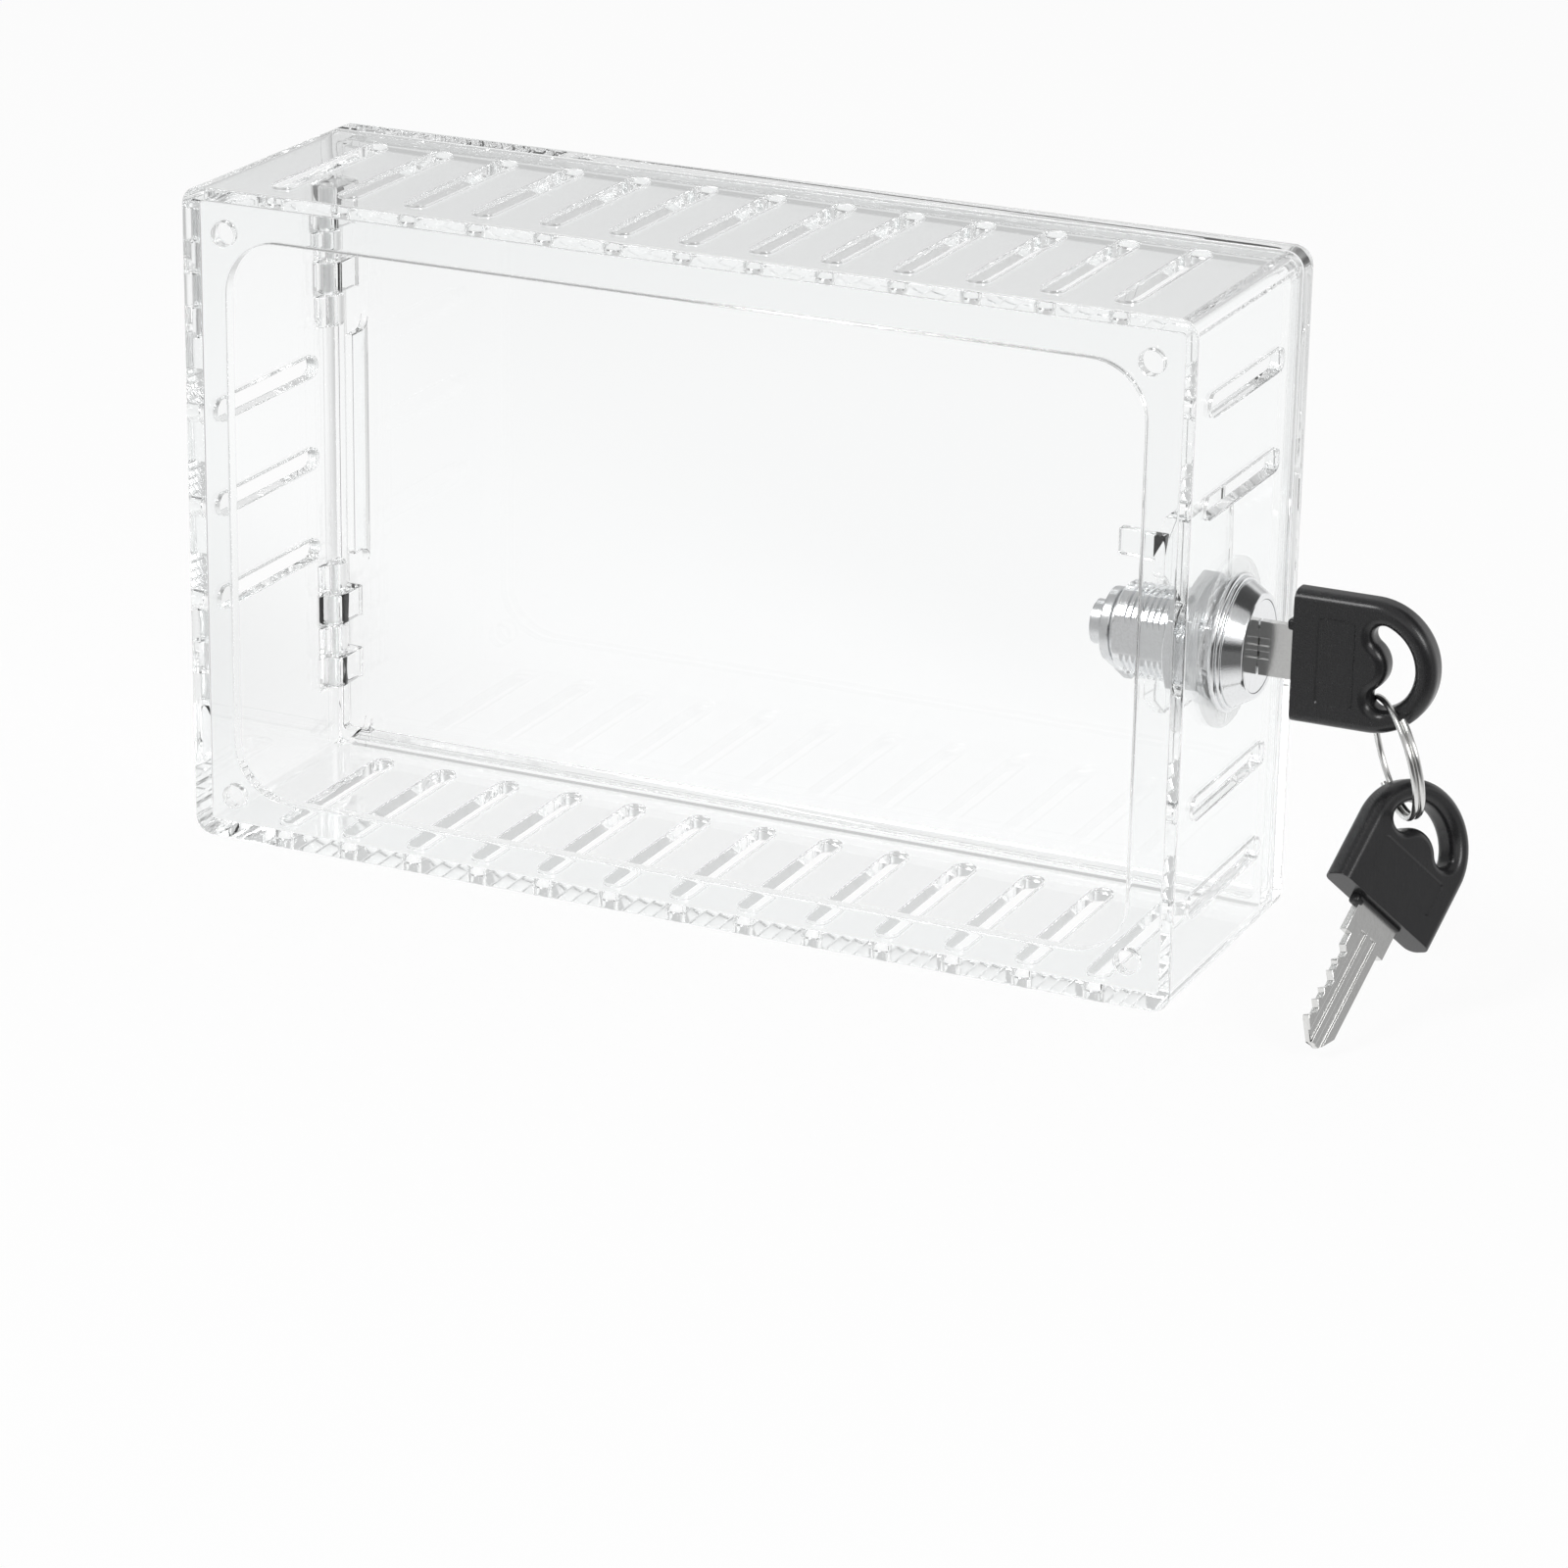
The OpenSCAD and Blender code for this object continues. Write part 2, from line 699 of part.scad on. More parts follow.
module stop_washer() {
    ear_reach = 8.8;
    ear_w = 3;
    color("silver") lock_frame() translate([0, 0, stop_u - stop_washer_t]) difference() {
        union() {
            cylinder(r = stop_ring_bore_r - stop_ring_gap, h = stop_washer_t);
            translate([-ear_reach, -ear_w / 2, 0]) cube([ear_reach, ear_w, stop_washer_t]);
        }
        translate([0, 0, stop_washer_t / 2])
            cube([tail_w + 2 * tail_clear, tail_w + 2 * tail_clear, stop_washer_t + 2 * eps], center = true);
    }
}

// Flat outline of the hooked cam, unlocked: x is up and y points to the wall
module cam_shape() {
    hub_r = 7.5;
    far = cam_offset + cam_w;
    tip_cut = 1.2;
    // Where the hook leaves the hub, and the inner corner between the two
    shoulder = [-5.8, 4.6];
    shoulder_run = 1;
    armpit = [-6.8, -7.2];
    armpit_run = 1.4;
    circle(hub_r);
    polygon([
        shoulder, [-far, -cam_offset + shoulder_run],
        [-far, -cam_reach + tip_cut], [-far + tip_cut, -cam_reach],
        [-cam_offset - tip_cut, -cam_reach], [-cam_offset, -cam_reach + tip_cut],
        [-cam_offset, armpit[1] - armpit_run], armpit, [0, -hub_r + eps], [0, 0]
    ]);
}

module cam() {
    color("silver") lock_frame() translate([0, 0, cam_end_u]) difference() {
        linear_extrude(cam_t) cam_shape();
        translate([0, 0, cam_t / 2])
            cube([tail_w + 2 * tail_clear, tail_w + 2 * tail_clear, cam_t + 2 * eps], center = true);
    }
}

module spring_washer() {
    outer_r = 5.6;
    slit = 0.8;
    slit_from = 2;
    color("silver") lock_frame() translate([0, 0, cam_end_u - spring_washer_t]) difference() {
        cylinder(r = outer_r, h = spring_washer_t);
        translate([0, 0, -eps]) cylinder(d = screw_d + turn_gap, h = spring_washer_t + 2 * eps);
        translate([slit_from, -slit / 2, -eps])
            cube([outer_r - slit_from + past, slit, spring_washer_t + 2 * eps]);
    }
}

module cam_screw() {
    head_u = cam_end_u - spring_washer_t - screw_head_t;
    shank_l = 5;
    cross_l = 5;
    cross_w = 1;
    cross_d = 1.25;
    color("silver") lock_frame() difference() {
        union() {
            translate([0, 0, head_u]) cylinder(d = screw_head_d, h = screw_head_t);
            translate([0, 0, head_u + screw_head_t - eps])
                cylinder(d = tap_drill_d - 2 * tail_clear, h = spring_washer_t + shank_l);
        }
        for (a = [0, 90]) {
            rotate(a) translate([-cross_l / 2, -cross_w / 2, head_u - eps])
                cube([cross_l, cross_w, cross_d + eps]);
        }
    }
}

// Key blade from the head's straight edge: z runs to the tip, x across, y through it
module key_blade_shape() {
    notch_first = 4.3;
    notch_deep = [1.1, 0.6, 1.5, 0.9, 1.3];
    notch_half = 0.6;
    half = blade_w / 2;
    // The tip's corners: how far in from the blade's edge, and how far back from its end
    tip = [[0, 3.5], [2.2, 0]];
    cut_tip = [[3.6, 0], [0.6, 3.2], [0, 4]];
    // Each milled groove: its middle across the blade, and the face that it is cut in
    grooves = [[1.4, 1], [-1.3, 1], [0.4, -1]];
    groove_w = 1.5;
    groove_d = blade_t / 4;
    groove_back = 2;
    difference() {
        rotate([90, 0, 0]) translate([0, 0, -blade_t / 2]) linear_extrude(blade_t) difference() {
            union() {
                translate([-half, -root_l]) square([blade_w, root_l + eps]);
                translate([-neck_w / 2, 0]) square([neck_w, neck_l]);
                polygon(concat(
                    [[-half, neck_l - eps], [half, neck_l - eps]],
                    [for (t = tip) [half - t[0], key_len - t[1]]],
                    [for (t = cut_tip) [-half + t[0], key_len - t[1]]]
                ));
            }
            for (i = [0 : len(notch_deep) - 1]) {
                z = neck_l + notch_first + i * wafer_pitch;
                d = notch_deep[i];
                polygon([
                    [-half - eps, z - d - notch_half - eps], [-half + d, z - notch_half],
                    [-half + d, z + notch_half], [-half - eps, z + d + notch_half + eps]
                ]);
            }
        }
        for (g = grooves) {
            y = g[1] > 0 ? blade_t / 2 - groove_d : -blade_t / 2 - eps;
            translate([g[0] - groove_w / 2, y, neck_l - groove_back])
                cube([groove_w, groove_d + eps, blade_l + groove_back + past]);
        }
    }
}

// Outline of a key's head from its straight edge back to its round end
module head_outline() {
    difference() {
        union() {
            translate([0, hole_centre]) circle(head_round);
            translate([-head_w / 2, hole_centre]) square([head_w, -hole_centre]);
        }
        // The hole is a half disc with a round tongue rising into it
        difference() {
            intersection() {
                translate([0, hole_centre]) circle(hole_r);
                translate([-head_w / 2, hole_centre - head_w]) square([head_w, head_w + hole_flat]);
            }
            translate([0, hole_centre + hole_flat]) circle(bump_r);
        }
    }
}

// Bevels along the outer edges and the hole's edge, on one face of a key's head
module head_chamfers() {
    c = head_chamfer;
    y = head_t / 2;
    // Round end
    difference() {
        translate([0, y, hole_centre]) rotate([90, 0, 0]) rotate_extrude() polygon([
            [head_round - c, -eps], [head_round + eps, -eps], [head_round + eps, c + eps]
        ]);
        translate([-head_w, y - head_t, hole_centre]) cube([2 * head_w, 2 * head_t, head_w]);
    }
    // Sides
    for (m = [0, 1]) mirror([m, 0, 0]) translate([0, 0, hole_centre]) linear_extrude(-hole_centre + eps)
        polygon([[head_round - c, y + eps], [head_round + eps, y + eps], [head_round + eps, y - c - eps]]);
    // Hole
    difference() {
        translate([0, y, hole_centre]) rotate([90, 0, 0]) rotate_extrude() polygon([
            [0, -eps], [hole_r + c, -eps], [hole_r, c + eps], [0, c + eps]
        ]);
        translate([-head_w, y - head_t, hole_centre]) cube([2 * head_w, 2 * head_t, head_w]);
        translate([0, y + eps, hole_centre + hole_flat]) rotate([90, 0, 0]) cylinder(r = bump_r, h = head_t);
    }
}

module key_head_shape() {
    panel_w = 18;
    panel_l = 8;
    panel_from = 5;
    panel_d = 0.3;
    collar_side = 1.75;
    collar_w = neck_w + 2 * collar_side;
    difference() {
        union() {
            rotate([90, 0, 0]) translate([0, 0, -head_t / 2]) linear_extrude(head_t) head_outline();
            translate([-collar_w / 2, -head_t / 4, -eps]) cube([collar_w, head_t / 2, collar_h + eps]);
        }
        for (s = [0, 1]) mirror([0, s, 0]) {
            translate([-panel_w / 2, head_t / 2 - panel_d, -panel_from - panel_l])
                cube([panel_w, panel_d + eps, panel_l]);
            head_chamfers();
        }
        // Socket for the blade's root and neck
        translate([-blade_w / 2 - seat_clear, -blade_t / 2 - seat_clear, -root_l - seat_clear])
            cube([blade_w + 2 * seat_clear, blade_t + 2 * seat_clear, root_l + past]);
        translate([-neck_w / 2 - seat_clear, -blade_t / 2 - seat_clear, 0])
            cube([neck_w + 2 * seat_clear, blade_t + 2 * seat_clear, collar_h + past]);
    }
}

module key_blade() color("#cfd2d5") in_lock() key_blade_shape();

module key_head() color("#26282a") in_lock() key_head_shape();

module spare_blade() color("#cfd2d5") on_ring() key_blade_shape();

module spare_head() color("#26282a") on_ring() key_head_shape();

// The ring's wire goes once round and doubles up over the side away from the box
module split_ring() {
    start = 125;
    sweep = 190;
    press = 0.03;
    color("#d0d3d6") translate(ring_top) rotate([0, 0, ring_yaw]) rotate([-ring_lean, 0, 0])
        translate([0, 0, -ring_d / 2]) rotate([90, 0, 0]) {
            translate([0, 0, -ring_wire / 2 + press]) rotate_extrude()
                translate([ring_d / 2, 0]) circle(d = ring_wire, $fn = 24);
            rotate(start) translate([0, 0, ring_wire / 2 - press]) rotate_extrude(angle = sweep)
                translate([ring_d / 2, 0]) circle(d = ring_wire, $fn = 24);
        }
}

housing();
door();
upper_hinge_pin();
lower_hinge_pin();
bezel_washer();
lock_body();
tooth_washer();
lock_nut();
plug();
face_cap();
wafers();
wafer_springs();
stop_washer();
cam();
spring_washer();
cam_screw();
key_blade();
key_head();
split_ring();
spare_blade();
spare_head();
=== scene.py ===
"""A clear wall box with vent slots, a hinged door, a cam lock and two keys.

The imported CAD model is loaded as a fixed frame. Each sub-assembly here is a class that holds its
real sizes in millimetres, builds its meshes with bmesh operators and dresses them. The box stands
on its lower side in a plain pale studio, as in the photograph.
"""

from __future__ import annotations

import json
import logging
import math
from dataclasses import dataclass
from enum import Enum
from typing import Iterable, Sequence

import bmesh
import bpy
from mathutils import Matrix, Vector

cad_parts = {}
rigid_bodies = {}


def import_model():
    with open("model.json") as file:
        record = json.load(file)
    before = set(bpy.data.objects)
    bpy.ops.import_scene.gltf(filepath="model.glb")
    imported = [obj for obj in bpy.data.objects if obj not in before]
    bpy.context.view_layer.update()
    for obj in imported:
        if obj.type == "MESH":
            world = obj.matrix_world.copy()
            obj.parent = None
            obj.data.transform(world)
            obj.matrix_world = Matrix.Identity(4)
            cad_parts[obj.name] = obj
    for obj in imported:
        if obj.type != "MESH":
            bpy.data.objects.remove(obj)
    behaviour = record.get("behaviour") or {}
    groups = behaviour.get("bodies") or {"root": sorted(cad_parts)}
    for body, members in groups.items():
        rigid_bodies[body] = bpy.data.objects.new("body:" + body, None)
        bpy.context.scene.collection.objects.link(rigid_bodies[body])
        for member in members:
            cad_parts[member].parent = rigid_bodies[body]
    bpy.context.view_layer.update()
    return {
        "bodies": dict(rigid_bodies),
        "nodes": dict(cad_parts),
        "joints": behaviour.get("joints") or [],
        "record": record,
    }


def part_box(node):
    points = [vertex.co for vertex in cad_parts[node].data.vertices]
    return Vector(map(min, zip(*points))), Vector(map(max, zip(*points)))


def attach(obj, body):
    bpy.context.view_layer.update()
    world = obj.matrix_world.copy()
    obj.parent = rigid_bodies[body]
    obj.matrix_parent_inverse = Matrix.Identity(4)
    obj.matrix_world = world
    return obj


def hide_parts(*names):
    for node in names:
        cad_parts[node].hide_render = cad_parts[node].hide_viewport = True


LOG = logging.getLogger("lock_box")
MM = 0.001
WELD = 0.002 * MM
HARD_DEGREES = 35.0
FLAT_DEGREES = 0.6
# How far the CAD head's collar stands past its straight end, in millimetres
CAD_COLLAR_H = 1.3


class Body(str, Enum):
    """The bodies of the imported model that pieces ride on."""

    BOX = "box"
    DOOR = "door"
    PLUG = "plug"
    KEY = "key"
    RING = "ring"
    SPARE = "spare_key"


class Slot(str, Enum):
    """The record's material slots."""

    CLEAR = "clear_plastic"
    WASHER = "washer_plastic"
    CHROME = "lock_chrome"
    PLUG = "plug_zinc"
    ZINC = "zinc_plate"
    STEEL = "pin_steel"
    BRASS = "wafer_brass"
    NICKEL = "key_nickel"
    BLACK = "key_black"


# Shader building


class NodeBuilder:
    """Adds nodes to one tree and wires them by name."""

    def __init__(self, tree: bpy.types.NodeTree) -> None:
        """Takes the tree that the nodes go into."""
        self.tree = tree

    def add(self, kind: str, inputs: dict | None = None, **settings: object) -> bpy.types.Node:
        """Adds a node.

        Args:
            kind: The node's bl_idname.
            inputs: Socket name or index to a value, or to the socket that feeds it.
            **settings: Attributes of the node, set before its inputs.

        Returns:
            The new node.
        """
        node = self.tree.nodes.new(kind)
        for name, value in settings.items():
            setattr(node, name, value)
        for key, value in (inputs or {}).items():
            if isinstance(value, bpy.types.NodeSocket):
                self.tree.links.new(value, node.inputs[key])
            else:
                node.inputs[key].default_value = value
        return node

    def math(self, operation: str, *values: object, clamp: bool = False) -> bpy.types.NodeSocket:
        """Adds a Math node on values or sockets and returns its result."""
        node = self.add("ShaderNodeMath", dict(enumerate(values)), operation=operation, use_clamp=clamp)
        return node.outputs[0]

    def link(self, source: bpy.types.NodeSocket, target: bpy.types.NodeSocket) -> None:
        """Wires one socket to another."""
        self.tree.links.new(source, target)


def new_group(name: str, inputs: dict[str, float | tuple], outputs: Sequence[str]) -> tuple:
    """Starts a shader node group that puts out plain numbers.

    Args:
        name: The group's name.
        inputs: Input name to its default value, a number or a vector.
        outputs: Output names.

    Returns:
        The group tree, its builder, its input node and its output node.
    """
    tree = bpy.data.node_groups.new(name, "ShaderNodeTree")
    for label, value in inputs.items():
        kind = "NodeSocketVector" if isinstance(value, tuple) else "NodeSocketFloat"
        tree.interface.new_socket(label, in_out="INPUT", socket_type=kind).default_value = value
    for label in outputs:
        tree.interface.new_socket(label, in_out="OUTPUT", socket_type="NodeSocketFloat")
    build = NodeBuilder(tree)
    return tree, build, build.add("NodeGroupInput"), build.add("NodeGroupOutput")


def surface_grain_group() -> bpy.types.NodeTree:
    """Builds the fine grain and patchy gloss that moulded and plated surfaces share.

    Returns:
        A group with a Roughness output and a Height output.
    """
    tree, build, source, sink = new_group(
        "surface_grain",
        {"Grain Scale": 2500.0, "Patch Scale": 90.0, "Roughness": 0.3, "Roughness Spread": 0.05},
        ("Roughness", "Height"),
    )
    place = build.add("ShaderNodeTexCoord").outputs["Object"]
    grain, patch = (
        build.add("ShaderNodeTexNoise", {"Vector": place, "Scale": source.outputs[label], "Detail": detail})
        for label, detail in (("Grain Scale", 3.0), ("Patch Scale", 4.0))
    )
    centred = build.math("SUBTRACT", patch.outputs["Fac"], 0.5)
    spread = build.math("MULTIPLY", centred, source.outputs["Roughness Spread"])
    doubled = build.math("MULTIPLY", spread, 2.0)
    rough = build.math("ADD", doubled, source.outputs["Roughness"], clamp=True)
    build.link(rough, sink.inputs["Roughness"])
    build.link(grain.outputs["Fac"], sink.inputs["Height"])
    return tree


def fine_scratch_group() -> bpy.types.NodeTree:
    """Builds thin scratches in two directions, as handled metal has.

    Returns:
        A group with a Mask output, 1 in a scratch.
    """
    tree, build, source, sink = new_group(
        "fine_scratches", {"Scale": 1500.0, "Stretch": 0.04, "Amount": 0.5}, ("Mask",)
    )
    place = build.add("ShaderNodeTexCoord").outputs["Object"]
    masks = []
    for turn in (0.35, 1.1):
        mapped = build.add("ShaderNodeMapping", {"Vector": place, "Rotation": (turn, turn * 0.7, turn * 1.3)})
        split = build.add("ShaderNodeSeparateXYZ", {0: mapped.outputs[0]})
        squeezed = build.math("MULTIPLY", split.outputs["X"], source.outputs["Stretch"])
        parts = {0: squeezed, 1: split.outputs["Y"], 2: split.outputs["Z"]}
        joined = build.add("ShaderNodeCombineXYZ", parts).outputs[0]
        noise = build.add(
            "ShaderNodeTexNoise", {"Vector": joined, "Scale": source.outputs["Scale"], "Detail": 2.0}
        )
        band = build.math("ABSOLUTE", build.math("SUBTRACT", noise.outputs["Fac"], 0.5))
        masks.append(build.math("SUBTRACT", 1.0, build.math("MULTIPLY", band, 24.0), clamp=True))
    both = build.math("MAXIMUM", *masks)
    build.link(build.math("MULTIPLY", both, source.outputs["Amount"]), sink.inputs["Mask"])
    return tree


@dataclass(frozen=True)
class Card:
    """A darker card beside the object, by where a polished surface mirrors it."""

    compass: tuple[float, float]
    height: tuple[float, float]
    depth: float
    soft: float = 7.0

    def shade(
        self, build: NodeBuilder, turn: bpy.types.NodeSocket, rise: bpy.types.NodeSocket
    ) -> bpy.types.NodeSocket:
        """Adds the card's darkness in a direction.

        Args:
            build: The tree's builder.
            turn: The direction's angle round from +X towards +Y, in degrees.
            rise: Its angle above the horizon, in degrees.

        Returns:
            The card's depth inside it, 0 well outside it.
        """
        centre = sum(self.compass) / 2
        wrapped = build.math("WRAP", turn, centre + 180, centre - 180)
        edges = []
        for angle, (low, high) in ((wrapped, self.compass), (rise, self.height)):
            for at, first, last in ((low, 0.0, 1.0), (high, 1.0, 0.0)):
                ramp = build.add(
                    "ShaderNodeMapRange",
                    {0: angle, 1: at - self.soft, 2: at + self.soft, 3: first, 4: last},
                    interpolation_type="SMOOTHSTEP",
                )
                edges.append(ramp.outputs[0])
        across_card = build.math("MULTIPLY", *edges[:2])
        up_card = build.math("MULTIPLY", *edges[2:])
        return build.math("MULTIPLY", build.math("MULTIPLY", across_card, up_card), self.depth)


CARDS = (
    Card((86, 162), (-60, 14), 0.93),
    Card((164, 206), (-40, 21), 0.55),
    Card((190, 262), (26, 62), 0.88),
    Card((-96, -36), (0, 38), 0.5, soft=10.0),
    Card((-20, 34), (-10, 60), 0.8, soft=12.0),
    Card((34, 86), (-50, 46), 0.45, soft=10.0),
)


def dark_cards_group() -> bpy.types.NodeTree:
    """Builds the dark cards round the object, which the floor and the world share.

    Returns:
        A group that takes a direction and gives how much darker than white the studio is there.
    """
    tree, build, source, sink = new_group("dark_cards", {"Direction": (0.0, 0.0, 0.0)}, ("Darkness",))
    ahead = build.add("ShaderNodeVectorMath", {0: source.outputs["Direction"]}, operation="NORMALIZE")
    split = build.add("ShaderNodeSeparateXYZ", {0: ahead.outputs[0]})
    turn = build.math("DEGREES", build.math("ARCTAN2", split.outputs["Y"], split.outputs["X"]))
    rise = build.math("DEGREES", build.math("ARCSINE", split.outputs["Z"]))
    total = CARDS[0].shade(build, turn, rise)
    for card in CARDS[1:]:
        total = build.math("ADD", total, card.shade(build, turn, rise), clamp=True)
    build.link(total, sink.inputs["Darkness"])
    return tree


class Groups:
    """The node groups that several finishes place, built once."""

    def __init__(self) -> None:
        """Builds every group."""
        self.grain = surface_grain_group()
        self.scratches = fine_scratch_group()
        self.cards = dark_cards_group()


def start_material(name: str) -> tuple[bpy.types.Material, NodeBuilder]:
    """Starts an empty node material and returns it with its builder."""
    material = bpy.data.materials.new(name)
    material.use_nodes = True
    material.node_tree.nodes.clear()
    return material, NodeBuilder(material.node_tree)


@dataclass(frozen=True)
class ClearFinish:
    """Clear moulded plastic that lets lamps through, with slow waves in its surface."""

    name: str = "clear_plastic"
    tint: tuple = (0.985, 0.992, 0.992, 1.0)
    ior: float = 1.49
    roughness: float = 0.0
    wave_scale: float = 60.0
    wave_height: float = 0.000006
    shadow_tint: tuple = (0.93, 0.93, 0.93, 1.0)

    def build(self, groups: Groups) -> bpy.types.Material:
        """Makes the material."""
        material, build = start_material(self.name)
        place = build.add("ShaderNodeTexCoord").outputs["Object"]
        waves = build.add("ShaderNodeTexNoise", {"Vector": place, "Scale": self.wave_scale, "Detail": 1.0})
        bump = build.add(
            "ShaderNodeBump", {"Strength": 1.0, "Distance": self.wave_height, "Height": waves.outputs["Fac"]}
        )
        body = build.add(
            "ShaderNodeBsdfPrincipled",
            {
                "Base Color": self.tint,
                "Roughness": self.roughness,
                "IOR": self.ior,
                "Transmission Weight": 1.0,
                "Normal": bump.outputs["Normal"],
            },
        )
        passing = build.add("ShaderNodeBsdfTransparent", {"Color": self.shadow_tint})
        path = build.add("ShaderNodeLightPath")
        mixed = build.add(
            "ShaderNodeMixShader",
            {0: path.outputs["Is Shadow Ray"], 1: body.outputs[0], 2: passing.outputs[0]},
        )
        build.add("ShaderNodeOutputMaterial", {"Surface": mixed.outputs[0]})
        return material


@dataclass(frozen=True)
class GrainedFinish:
    """What metal and moulded plastic share: grain, patchy gloss and scratches of another colour."""

    name: str
    colour: tuple
    scratch_colour: tuple
    roughness: float
    spread: float = 0.04
    grain_scale: float = 2600.0
    bump: float = 0.000004
    scratch_amount: float = 0.4

    def plain_inputs(self) -> dict[str, float]:
        """The numbers that are the same all over the surface."""
        return {}

    def build(self, groups: Groups) -> bpy.types.Material:
        """Makes the material."""
        material, build = start_material(self.name)
        grain = build.add("ShaderNodeGroup", node_tree=groups.grain)
        for label, value in {
            "Grain Scale": self.grain_scale,
            "Roughness": self.roughness,
            "Roughness Spread": self.spread,
        }.items():
            grain.inputs[label].default_value = value
        scratch = build.add("ShaderNodeGroup", node_tree=groups.scratches)
        scratch.inputs["Amount"].default_value = self.scratch_amount
        colour = build.add(
            "ShaderNodeMix",
            {"Factor": scratch.outputs["Mask"], 6: self.colour, 7: self.scratch_colour},
            data_type="RGBA",
        )
        bump = build.add("ShaderNodeBump", {"Distance": self.bump, "Height": grain.outputs["Height"]})
        body = build.add(
            "ShaderNodeBsdfPrincipled",
            {
                "Base Color": colour.outputs[2],
                "Roughness": grain.outputs["Roughness"],
                "Normal": bump.outputs["Normal"],
                **self.plain_inputs(),
            },
        )
        build.add("ShaderNodeOutputMaterial", {"Surface": body.outputs[0]})
        return material


@dataclass(frozen=True)
class MetalFinish(GrainedFinish):
    """Plated or drawn metal."""

    def plain_inputs(self) -> dict[str, float]:
        """Metal all over."""
        return {"Metallic": 1.0}


@dataclass(frozen=True)
class MouldedFinish(GrainedFinish):
    """Moulded plastic, see-through where its alpha is below 1."""

    spread: float = 0.06
    grain_scale: float = 3500.0
    bump: float = 0.00001
    scratch_amount: float = 0.25
    alpha: float = 1.0
    specular: float = 0.5

    def plain_inputs(self) -> dict[str, float]:
        """Its alpha and its gloss."""
        return {"Alpha": self.alpha, "Specular IOR Level": self.specular}


def all_finishes(groups: Groups) -> dict[Slot, bpy.types.Material]:
    """Builds one material for each slot.

    Args:
        groups: The shared node groups.

    Returns:
        Slot to its material.
    """
    finishes = {
        Slot.CLEAR: ClearFinish(),
        Slot.WASHER: MouldedFinish(
            "washer_plastic", (0.9, 0.91, 0.91, 1), (0.82, 0.83, 0.83, 1), 0.35, alpha=0.22
        ),
        Slot.CHROME: MetalFinish(
            "lock_chrome", (0.84, 0.85, 0.86, 1), (0.7, 0.7, 0.7, 1), 0.12, spread=0.03, bump=0.000012
        ),
        Slot.PLUG: MetalFinish("plug_zinc", (0.74, 0.74, 0.73, 1), (0.6, 0.6, 0.6, 1), 0.26),
        Slot.ZINC: MetalFinish("zinc_plate", (0.74, 0.75, 0.76, 1), (0.6, 0.61, 0.62, 1), 0.24),
        Slot.STEEL: MetalFinish("pin_steel", (0.92, 0.92, 0.92, 1), (0.8, 0.8, 0.8, 1), 0.42),
        Slot.BRASS: MetalFinish("wafer_brass", (0.78, 0.6, 0.28, 1), (0.6, 0.46, 0.2, 1), 0.3),
        Slot.NICKEL: MetalFinish(
            "key_nickel", (0.76, 0.76, 0.75, 1), (0.62, 0.61, 0.6, 1), 0.18, scratch_amount=0.35
        ),
        Slot.BLACK: MouldedFinish("key_black", (0.012, 0.012, 0.013, 1), (0.03, 0.03, 0.03, 1), 0.25),
    }
    return {slot: finish.build(groups) for slot, finish in finishes.items()}


# Mesh helpers


def shade(bm: bmesh.types.BMesh, sharp_degrees: float = HARD_DEGREES) -> None:
    """Smooths every face and keeps hard edges crisp.

    Args:
        bm: The mesh to mark.
        sharp_degrees: Edges that turn more than this stay sharp.
    """
    bm.normal_update()
    for face in bm.faces:
        face.smooth = True
    limit = math.radians(sharp_degrees)
    for edge in bm.edges:
        edge.smooth = not (len(edge.link_faces) == 2 and edge.calc_face_angle() > limit)


def finish_mesh(
    bm: bmesh.types.BMesh,
    name: str,
    body: Body,
    material: bpy.types.Material,
    replaced: Sequence[str] = (),
    outward: bool = True,
) -> bpy.types.Object:
    """Turns a bmesh into a finished piece that rides on its body.

    Args:
        bm: The shape, in metres in the row frame. It is freed.
        name: The piece's name.
        body: The body it moves with.
        material: Its material.
        replaced: The CAD nodes that it stands for.
        outward: Whether to recalculate the faces so that they point outwards.

    Returns:
        The new object.
    """
    if outward:
        bmesh.ops.recalc_face_normals(bm, faces=bm.faces)
    shade(bm)
    mesh = bpy.data.meshes.new(name)
    bm.to_mesh(mesh)
    bm.free()
    # A copy of a CAD mesh brings stored normals that no longer fit its new faces
    stored = mesh.attributes.get("custom_normal")
    if stored is not None:
        mesh.attributes.remove(stored)
    mesh.materials.append(material)
    piece = bpy.data.objects.new(name, mesh)
    bpy.context.scene.collection.objects.link(piece)
    # Large flats keep their own normal, and the rounded edges beside them take up the turn
    flats = piece.modifiers.new("flats_first", "WEIGHTED_NORMAL")
    flats.weight = 100
    flats.keep_sharp = True
    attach(piece, body.value)
    if replaced:
        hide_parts(*replaced)
    LOG.info("%s: %d faces on %s", name, len(mesh.polygons), body.value)
    return piece


def round_edges(
    bm: bmesh.types.BMesh, edges: list[bmesh.types.BMEdge], width: float, segments: int = 2
) -> None:
    """Rounds edges, each cut back by a width in millimetres."""
    bmesh.ops.bevel(
        bm,
        geom=edges,
        offset=width * MM,
        offset_type="OFFSET",
        affect="EDGES",
        segments=segments,
        profile=0.5,
        material=-1,
        clamp_overlap=False,
    )


def closed_loop(bm: bmesh.types.BMesh, places: Iterable[tuple]) -> tuple[list, list]:
    """Joins places in metres into a closed loop, and returns its vertices and its edges."""
    verts = [bm.verts.new(place) for place in places]
    return verts, [bm.edges.new(pair) for pair in zip(verts, verts[1:] + verts[:1])]


def joint_place(frame: dict, name: str) -> Sequence[float]:
    """Where a joint is, in metres."""
    return next(joint for joint in frame["joints"] if joint["name"] == name)["pos_m"]


